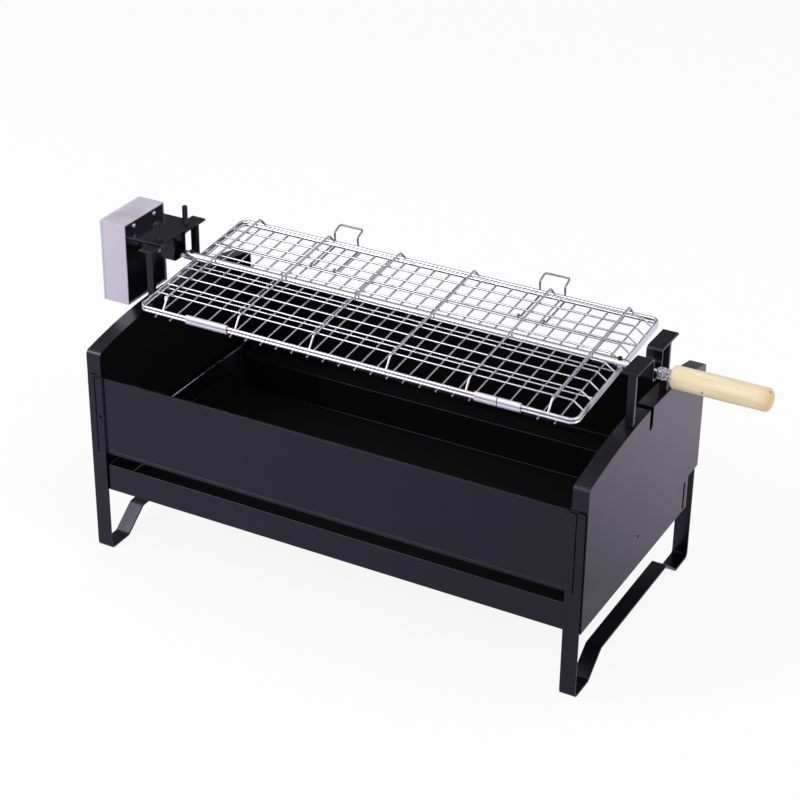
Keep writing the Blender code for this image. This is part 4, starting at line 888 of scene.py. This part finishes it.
# %% [markdown]
# The raised half has six ribs over ten long wires. All the wires of one kind are the same, so one is
# drawn and copied to each place. An Array modifier would make them all equal, but real wire is never
# quite straight: each copy is swayed by up to a fifth of a millimetre, with a seed of its own,
# before all of them are rounded together.

# %% Weld up the raised half
SWAY = 0.0002
WIRE_BEND = 0.004
ON_BORDER = UPPER_N + 0.001
RIBS, RIB_PITCH, RIB_RADIUS = 6, 0.092, 0.0013
RIB_N, RIB_SHOULDER, RIB_STRETCH = 0.0056, 0.010, 0.04
LONGS, LONG_PITCH, WIRE_RADIUS = 10, 0.0194, 0.00106
LONG_N, LONG_RAMP, LONG_STRETCH = 0.00292, 0.012, 0.05


def in_row(count, pitch):
    return [(k - (count - 1) / 2) * pitch for k in range(count)]


def divided(path, longest):
    points = [Vector(path[0])]
    for start, end in zip(path, path[1:]):
        start, end = Vector(start), Vector(end)
        count = max(1, math.ceil((end - start).length / longest))
        points += [start.lerp(end, (k + 1) / count) for k in range(count)]
    return points


def bundle(path, places, radius, seed):
    first = draw_chain(path)
    copies = []
    for number, place in enumerate(places):
        pick(first)
        bpy.ops.object.duplicate()
        copy = bpy.context.object
        copy.location = place
        edit(copy)
        bpy.ops.transform.vertex_random(offset=SWAY, seed=seed + number)
        pick(copy)
        copies.append(copy)
    pick(first)
    bpy.ops.object.delete()
    pick(*copies)
    bpy.ops.object.join()
    piece = bpy.context.object
    apply_place(piece)
    round_wire(piece, radius)
    piece.matrix_world = BASKET
    return piece


shoulder = BASKET_SIDE - RIB_SHOULDER
rib = [(0, -BASKET_SIDE, ON_BORDER), (0, -shoulder, RIB_N), (0, shoulder, RIB_N)]
rib = divided(bend(rib + [(0, BASKET_SIDE, ON_BORDER)], WIRE_BEND), RIB_STRETCH)
ribs = bundle(rib, [(x, 0, 0) for x in in_row(RIBS, RIB_PITCH)], RIB_RADIUS, seed=11)
nodes = ["upper_rib_%d" % k for k in range(1, RIBS + 1)]
settle(ribs, "upper_ribs", "spit", shaded_thin_wire_chrome, "chrome_wire", *nodes)

ramp = BASKET_HALF - LONG_RAMP
long_wire = [(-BASKET_HALF, 0, ON_BORDER), (-ramp, 0, LONG_N), (ramp, 0, LONG_N)]
long_wire = divided(bend(long_wire + [(BASKET_HALF, 0, ON_BORDER)], WIRE_BEND), LONG_STRETCH)
longs = bundle(long_wire, [(0, y, 0) for y in in_row(LONGS, LONG_PITCH)], WIRE_RADIUS, seed=31)
nodes = ["upper_long_wire_%d" % k for k in range(1, LONGS + 1)]
settle(longs, "upper_long_wires", "spit", shaded_thin_wire_chrome, "chrome_wire", *nodes)

# %% [markdown]
# The flat half hangs under the raised one: twenty-six cross wires under its border, and three long
# ones on top of them. Beside the two hinge clips the cross wires stop short of the border, so they
# are two bundles, a full one and a short one, which are joined when both are round.

# %% Weld up the flat half
CROSSES, CROSS_PITCH, CROSS_N, CROSS_STRETCH = 26, 0.0191, -0.01404, 0.03
CROSS_REAR, FULL_FRONT, SHORT_FRONT = 0.1072, -0.1093, -0.1022
FLATS, FLAT_PITCH, FLAT_N, FLAT_HALF = 3, 0.055, -0.01197, 0.2593
CLIP_X = 0.174
CLIP_LENGTH = 0.052
CLIP_CLEAR = 0.003
full, short = [], []
for x in in_row(CROSSES, CROSS_PITCH):
    at_clip = near(abs(x), CLIP_X, CLIP_LENGTH / 2 + CLIP_CLEAR)
    (short if at_clip else full).append((x, 0, 0))
crosses = []
for seed, front, group in ((51, FULL_FRONT, full), (91, SHORT_FRONT, short)):
    path = divided([(0, front, CROSS_N), (0, CROSS_REAR, CROSS_N)], CROSS_STRETCH)
    crosses.append(bundle(path, group, WIRE_RADIUS, seed))
pick(*crosses)
bpy.ops.object.join()
crosses = bpy.context.object
settle(crosses, "lower_cross_wires", "lower_half", shaded_thin_wire_chrome, "chrome_wire", "lower_basket")
path = divided([(-FLAT_HALF, 0, FLAT_N), (FLAT_HALF, 0, FLAT_N)], LONG_STRETCH)
flat = bundle(path, [(0, y, 0) for y in in_row(FLATS, FLAT_PITCH)], WIRE_RADIUS, seed=131)
settle(flat, "lower_long_wires", "lower_half", shaded_thin_wire_chrome, "chrome_wire", "lower_basket")

# %% [markdown]
# Where two wires cross they are spot welded, which leaves a small flattened lump in the corner
# between them. Copied one by one they would take long, and no eye compares them, so one lump is
# modelled and repeated with two Array modifiers, one along each direction of the grid.

# %% Spot welds
UPPER_WELD = (0.0019, 0.0017, 0.0009)
LOWER_WELD = (0.0016, 0.0017, 0.0008)
WELD_SWAY = 0.00012


def weld_grid(n, counts, pitches, half):
    start = [in_row(count, pitch)[0] for count, pitch in zip(counts, pitches)]
    lump = weld_lump((*start, n), half, 1, WELD_SWAY, seed=7)
    for axis in (0, 1):
        step = [0.0, 0.0, 0.0]
        step[axis] = pitches[axis]
        apply_modifier(lump, "ARRAY", count=counts[axis], use_relative_offset=False,
                       use_constant_offset=True, constant_offset_displace=step)
    smooth(lump, 60)
    lump.matrix_world = BASKET
    return lump


upper_welds = weld_grid((RIB_N + LONG_N) / 2, (RIBS, LONGS), (RIB_PITCH, LONG_PITCH), UPPER_WELD)
settle(upper_welds, "upper_spot_welds", "spit", shaded_thin_wire_chrome, "chrome_wire")
lower_welds = weld_grid((CROSS_N + FLAT_N) / 2, (CROSSES, FLATS), (CROSS_PITCH, FLAT_PITCH),
                        LOWER_WELD)
settle(lower_welds, "lower_spot_welds", "lower_half", shaded_thin_wire_chrome, "chrome_wire")

# %% [markdown]
# Each latch is one wire: an eye round a wire of the flat half at each end, two arms that run out
# under the rear border and rise past it, and a finger bar that leans outwards. The path of one arm
# is drawn from the eye to the bar and mirrored for the other, rather than with a Mirror modifier,
# which would cut the bar in two. It is drawn spring steel, left unplated, so it mirrors the room in
# a darker grey than the basket.

# %% Bend the latches
LATCH_PLACES = {"left": -0.12415, "right": 0.1337}
LATCH_RADIUS = 0.0011
LATCH_HALF = 0.015
LATCH_BEND = 0.003
LATCH_EYE, EYE_START, EYE_TURN, EYE_STEPS = 0.00265, 20, 250, 12
CATCH_Y = 0.0548
CATCH_RISE = 0.018
BAR_LEAN = (0.013, 0.0215)
spring = clouded_finish("drawn_spring_steel", 2.5, 3.0, ("77767C", "A3A2A8"), (0.18, 0.32))
eye = []
for k in range(EYE_STEPS + 1):
    angle = math.radians(EYE_START + EYE_TURN * k / EYE_STEPS)
    eye.append(Vector((0, LATCH_EYE * math.cos(angle), LATCH_EYE * math.sin(angle))))
arm = [eye[-1]] + [Vector((0, CATCH_Y + out, up - LATCH_EYE))
                   for out, up in ((0, 0), (0, CATCH_RISE), BAR_LEAN)]
aside = Vector((LATCH_HALF, 0, 0))
path = bend([p - aside for p in arm] + [p + aside for p in reversed(arm)], LATCH_BEND, 5)
path = [p - aside for p in eye[:-1]] + path + [p + aside for p in reversed(eye[:-1])]
for side, x in LATCH_PLACES.items():
    piece = round_wire(draw_chain(path), LATCH_RADIUS)
    piece.matrix_world = BASKET @ Matrix.Translation((x, FLAT_PITCH, FLAT_N))
    settle(piece, side + "_latch_wire", side + "_latch_bail", spring, "chrome_wire", side + "_latch")

# %% [markdown]
# The hinge clips are strips of sheet rolled round both front border wires, and drawn in to a waist
# between them. The left one is a single roll, and the right one is two knuckles with a narrow gap. A
# closed chain in the shape of the roll is extruded along the wire, given its sheet thickness with
# Solidify, and its edges are broken. Two tubes joined by a Boolean would leave no such waist.

# %% Roll the hinge clips
CLIP_BORE = 0.0024
CLIP_SHEET = 0.0008
KNUCKLE_GAP = 0.0010
CLIP_EDGE = 0.00018
ARC_STEPS = 14


def knuckle(start, length):
    outer = CLIP_BORE + CLIP_SHEET
    waist = math.asin((UPPER_N - LOWER_N) / 2 / outer)
    path = []
    for centre, first in ((UPPER_N, 0.0), (LOWER_N, math.pi)):
        for k in range(ARC_STEPS + 1):
            angle = first - waist + (math.pi + 2 * waist) * k / ARC_STEPS
            y, z = outer * math.cos(angle) - BASKET_SIDE, outer * math.sin(angle) + centre
            path.append((start, y, z))
    piece = draw_chain(path + path[:1])
    edit(piece)
    bpy.ops.mesh.remove_doubles(threshold=MERGE)
    bpy.ops.mesh.extrude_region_move(TRANSFORM_OT_translate={"value": (length, 0, 0)})
    edit(piece)
    bpy.ops.mesh.normals_make_consistent(inside=False)
    return piece


half = (CLIP_LENGTH - KNUCKLE_GAP) / 2
ROLLS = {"left": (-CLIP_X, [(-CLIP_LENGTH / 2, CLIP_LENGTH)]),
         "right": (CLIP_X, [(-CLIP_LENGTH / 2, half), (KNUCKLE_GAP / 2, half)])}
for side, (middle, rolls) in ROLLS.items():
    pick(*[knuckle(middle + start, length) for start, length in rolls])
    if len(rolls) > 1:
        bpy.ops.object.join()
    clip = bpy.context.object
    apply_modifier(clip, "SOLIDIFY", thickness=CLIP_SHEET, offset=-1.0)
    soften(clip, CLIP_EDGE, degrees=50, rounds=1)
    clip.matrix_world = BASKET
    settle(clip, side + "_clip_roll", "spit", stainless, "chrome_wire", side + "_hinge_clip")

# %% [markdown]
# The spit is a drawn round bar with a square tip that enters the motor. The bar could be a bare
# cylinder, but its ends are chamfered, so it is turned from a profile, and the tip is a box with
# softened edges that is joined to it.

# %% Turn the bar
ROD_RADIUS = 0.004
ROD_CHAMFER = 0.0005
TIP_LENGTH = 0.0205
TIP_SQUARE = 0.0056
TIP_OVERLAP = 0.003
low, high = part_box("spit_rod")
shoulder = low[0] + TIP_LENGTH
run = high[0] - shoulder
neck = ROD_RADIUS - ROD_CHAMFER
profile = [(0, 0), (0, neck), (ROD_CHAMFER, ROD_RADIUS), (run - ROD_CHAMFER, ROD_RADIUS)]
bar = turn_piece(profile + [(run, neck), (run, 0)], (shoulder, *spit_axis.yz), "X", steps=40)
across = Vector((0, TIP_SQUARE / 2, TIP_SQUARE / 2))
tip = box_between(Vector((low[0], *spit_axis.yz)) - across,
                  Vector((shoulder + TIP_OVERLAP, *spit_axis.yz)) + across)
soften(tip, ROD_CHAMFER)
pick(tip, bar)
bpy.ops.object.join()
settle(bpy.context.object, "spit_bar", "spit", chrome, "chrome_wire", "spit_rod")

# %% [markdown]
# Two sleeves of plated tube hold the basket on the bar. A cylinder with a Boolean bore would do, but
# a closed profile, spun round, gives the bore and both chamfers at once.

# %% Turn the sleeves
SLEEVE_RADIUS = 0.005
SLEEVE_CHAMFER = (0.0004, 0.0003)
SLIDING_GAP = 0.0003
BORE = ROD_RADIUS + SLIDING_GAP
for side in ("left", "right"):
    low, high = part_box(side + "_sleeve")
    run = high[0] - low[0]
    back, down = SLEEVE_CHAMFER
    profile = [(0, BORE), (0, SLEEVE_RADIUS - down), (back, SLEEVE_RADIUS)]
    profile += [(run - back, SLEEVE_RADIUS), (run, SLEEVE_RADIUS - down), (run, BORE), (0, BORE)]
    tube = turn_piece(profile, (low[0], *spit_axis.yz), "X", steps=40)
    settle(tube, side + "_sleeve_tube", "spit", chrome, "chrome_wire", side + "_sleeve")

# %% [markdown]
# A set screw in each sleeve is blackened steel: a thin oxide that gives the eye a dark metal with a
# dull, slightly oily gloss. The screw is turned, and its six-sided socket is cut with a Boolean,
# because an inset face would stay as round as the screw.

# %% Black oxide and the set screws
SCREW_X = 0.261
SCREW_RADIUS = 0.0025
SCREW_TOP = 0.0072
SCREW_CHAMFER = 0.0004
SOCKET_RADIUS = 0.0014
SOCKET_CUTTER = 0.003
oxide = clouded_finish("black_oxide_steel", 0.8, 2.0, ("1A191C", "343238"), (0.32, 0.5), metal=0.6)
for side, x in (("left", -SCREW_X), ("right", SCREW_X)):
    profile = [(BORE, 0), (BORE, SCREW_RADIUS), (SCREW_TOP - SCREW_CHAMFER, SCREW_RADIUS)]
    profile += [(SCREW_TOP, SCREW_RADIUS - SCREW_CHAMFER), (SCREW_TOP, 0)]
    screw = turn_piece(profile, (0, 0, 0), "Z", steps=30)
    pick()
    bpy.ops.mesh.primitive_cylinder_add(vertices=6, radius=SOCKET_RADIUS, depth=SOCKET_CUTTER,
                                        location=(0, 0, SCREW_TOP))
    cut(screw, bpy.context.object)
    smooth(screw)
    screw.matrix_world = BASKET @ Matrix.Translation((x, 0, 0))
    settle(screw, side + "_socket_screw", "spit", oxide, "black_screw", side + "_set_screw")

# %% [markdown]
# The grip is turned from a pale close-grained wood and only sanded. Its grain runs along the handle
# as fine darker lines with slow waves, the end grain is browner, and two small knots show. Rings
# from a wave texture would look sawn from one plank, so the grain is a noise that is stretched along
# the handle, and each tone is laid over the one before.

# %% Pale wood
GRAIN_MM, WAVE_MM, PORE_MM = 1.6, 55.0, 14.0
END_GRAIN = 0.014
KNOTS = (((0.3231, -0.0103, 0.3055), 0.0021), ((0.3905, -0.0005, 0.3200), 0.0018))
wood, tree, shader = new_finish("turned_pale_wood")
place = add(tree, "TexCoord", {}).outputs["Object"]
stretch = (per(WAVE_MM), per(GRAIN_MM * 3), per(GRAIN_MM * 3))
along = add(tree, "Mapping", {"Vector": place, "Scale": stretch}).outputs[0]
figure = add(tree, "TexNoise", {"Vector": along, "Scale": 1.0, "Detail": 3.0, "Distortion": 0.4})
stretch = (per(PORE_MM), per(GRAIN_MM / 2), per(GRAIN_MM / 2))
fine = add(tree, "Mapping", {"Vector": place, "Scale": stretch}).outputs[0]
pores = add(tree, "TexNoise", {"Vector": fine, "Scale": 1.0, "Detail": 1.0}).outputs["Fac"]
handle_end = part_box("wooden_handle")[1][0]
run = add(tree, "SeparateXYZ", {0: place}).outputs["X"]
lines = add(tree, "MapRange", {0: figure.outputs["Fac"], 1: 0.35, 2: 0.72})
flecks = add(tree, "MapRange", {0: pores, 1: 0.60, 2: 0.80, 4: 0.25})
end = add(tree, "MapRange", {0: run, 1: handle_end - END_GRAIN, 2: handle_end, 4: 0.6})
layers = [(lines, "F2D9AE"), (flecks, "C99C62"), (end, "E2B87E")]
for spot, size in KNOTS:
    away = add(tree, "VectorMath", {0: place, 1: spot}, operation="DISTANCE").outputs["Value"]
    knot = add(tree, "MapRange", {0: away, 1: size * 0.3, 2: size, 3: 0.8, 4: 0.0})
    layers.append((knot, "8A5C30"))
tone = linear("FBEDCF")
for share, colour in layers:
    links = {0: share.outputs[0], 6: tone, 7: linear(colour)}
    tone = add(tree, "Mix", links, data_type="RGBA").outputs[2]
bump = add(tree, "Bump", {"Height": pores, "Strength": 0.12, "Distance": 0.0003})
tree.links.new(tone, shader.inputs["Base Color"])
tree.links.new(bump.outputs[0], shader.inputs["Normal"])
shader.inputs["Roughness"].default_value = 0.48
print("finish:", wood.name, "in", len(layers) + 1, "tones")

# %% [markdown]
# The handle is a plain cylinder with rounded ends, very slightly fuller in the middle, and a blind
# bore for the bar. A primitive cylinder can't swell, so it is turned from a profile: the bore, the
# front round, the long swell, and a wider round at the end.

# %% Turn the handle
FRONT_ROUND = 0.004
END_ROUND = 0.0055
SWELL = 0.0002
SWELL_STEPS = 10
low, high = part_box("wooden_handle")
run = high[0] - low[0]
radius = (high[1] - low[1]) / 2
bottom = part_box("spit_rod")[1][0] - low[0] + SLIDING_GAP
front = [(-along, out) for along, out in rounded_end(0, radius - SWELL, FRONT_ROUND)]
profile = [(bottom, 0), (bottom, BORE), (0, BORE)] + front[::-1]
for k in range(1, SWELL_STEPS):
    share = k / SWELL_STEPS
    swell = SWELL * math.sin(math.pi * share)
    profile.append((FRONT_ROUND + (run - FRONT_ROUND - END_ROUND) * share, radius - SWELL + swell))
profile += rounded_end(run, radius - SWELL, END_ROUND, 8) + [(run, 0)]
handle = turn_piece(profile, (low[0], *spit_axis.yz), "X", steps=72)
settle(handle, "turned_wooden_handle", "spit", wood, "pale_wood", "wooden_handle")

# %% [markdown]
# The ferrule in front of the handle is a plated collar: a washer, two rings of crimp flats and a
# tapered lip. Its plating is dented all over by the crimping tool, so it breaks the room into bright
# and black specks. Each dent as a shape would take thousands of faces, so the small dents are a bump
# from a cell pattern, and only the flats are inset into the turned mesh.

# %% Crimp the ferrule
DENT_MM = 1.6
FLAT_EDGE = 0.0003
FLAT_DEPTH = 0.00035
CRIMPED = ((0.0040, 0.0082), (0.0100, 0.0140))
hammered = clouded_finish("hammered_chrome_plate", 2.0, 2.0, ("A9A8AE", "E6E5EA"), 0.16)
tree = hammered.node_tree
place = tree.nodes["Texture Coordinate"].outputs["Object"]
dents = add(tree, "TexVoronoi", {"Vector": place, "Scale": per(DENT_MM)}, feature="SMOOTH_F1")
bump = add(tree, "Bump", {"Height": dents.outputs["Distance"], "Strength": 0.7, "Distance": 0.0009})
tree.links.new(bump.outputs[0], tree.nodes["Principled BSDF"].inputs["Normal"])

low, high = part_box("handle_ferrule")
run = high[0] - low[0]
radius = (high[1] - low[1]) / 2
washer = [(0, 0.0014), (0.0006, 0.0004), (0.0018, 0.0004), (0.0024, 0.0018)]
first_ring = [(0.0032, 0.0018), (0.0040, 0.0005), (0.0062, 0.0001), (0.0082, 0.0007)]
second_ring = [(0.0090, 0.0016), (0.0100, 0.0008), (0.0125, 0.0002)]
lip = [(run - 0.0008, 0.0001), (run, 0.0008)]
profile = [(along, radius - down) for along, down in washer + first_ring + second_ring + lip]
profile = [(0, BORE)] + profile + [(run, BORE), (0, BORE)]
ferrule = turn_piece(profile, (low[0], *spit_axis.yz), "X", steps=24)


def on_crimp(face):
    along = face.calc_center_median().x - low[0]
    return any(start < along < end for start, end in CRIMPED)


count = select_where(ferrule, "FACE", on_crimp)
bpy.ops.mesh.inset(thickness=FLAT_EDGE, depth=-FLAT_DEPTH, use_individual=True)
smooth(ferrule, 40)
settle(ferrule, "crimped_ferrule", "spit", hammered, "chrome_wire", "handle_ferrule")
print(count, "crimp flats")

# %% [markdown]
# The switch and the cord gland are moulded. Black ABS has a fine spark-eroded texture and a soft
# gloss, and the rubber of the gland is duller and slightly grey. Both get their grain from noise, as
# tone and as bump, drawn coarser than the real one so that it shows. Their shapes are copies with
# soft edges, as a mould gives them.

# %% Moulded switch and gland
MOULDINGS = (("black_abs_moulding", 0.5, ("131315", "1F1F22"), 0.42),
             ("black_rubber_moulding", 0.9, ("161616", "242424"), 0.68))
MOULD_EDGE = 0.0003
moulded = {}
for name, grain_mm, tones, gloss in MOULDINGS:
    moulded[name] = clouded_finish(name, grain_mm, 2.0, tones, gloss, metal=0.0)
    tree = moulded[name].node_tree
    grain = tree.nodes["Noise Texture"].outputs["Fac"]
    bump = add(tree, "Bump", {"Height": grain, "Strength": 0.2, "Distance": 0.0002})
    tree.links.new(bump.outputs[0], tree.nodes["Principled BSDF"].inputs["Normal"])
for node, finish, slot in (("switch_bezel", "black_abs_moulding", "black_plastic"),
                           ("switch_rocker", "black_abs_moulding", "black_plastic"),
                           ("cord_gland", "black_rubber_moulding", "black_rubber")):
    piece = soften(copy_node(node), MOULD_EDGE)
    settle(piece, "moulded_" + node, BODY_OF[node], moulded[finish], slot, node)

# %% [markdown]
# The gear train inside the motor box is hidden, but it is part of the object and turns with it. Its
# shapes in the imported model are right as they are, so these nodes stay and only get finishes. The
# bush is bronze soaked with oil, brown and half dull, the gears are natural nylon, milky and a little
# translucent, and the plate, the pin and the motor can are zinc plated.

# %% Finish the gear train
bronze = clouded_finish("oil_soaked_bronze", 0.7, 2.0, ("2B2319", "4A3B28"), 0.42)
nylon = clouded_finish("moulded_natural_nylon", 5.0, 2.0, ("E4E0D2", "F1EEE4"), 0.45, metal=0.0)
shader = nylon.node_tree.nodes["Principled BSDF"]
shader.inputs["Subsurface Weight"].default_value = 0.1
BY_SLOT = {"enamel": enamel, "brushed_sheet": stainless, "chrome_wire": chrome, "zinc": zinc,
           "black_screw": oxide, "pale_wood": wood, "brass": bronze, "nylon": nylon,
           "black_plastic": moulded["black_abs_moulding"],
           "black_rubber": moulded["black_rubber_moulding"]}
for part in frame["record"]["subparts"]:
    node = frame["nodes"][part["node"]]
    for number in range(len(node.material_slots)):
        node.material_slots[number].material = BY_SLOT[part["material_slot"]]

# %% [markdown]
# Last, the box of the dressed model is printed, so that it shows at once if a piece stands out too
# far.

# %% Measure and finish
low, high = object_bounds()
print("visual box", [round(v, 4) for v in high - low])
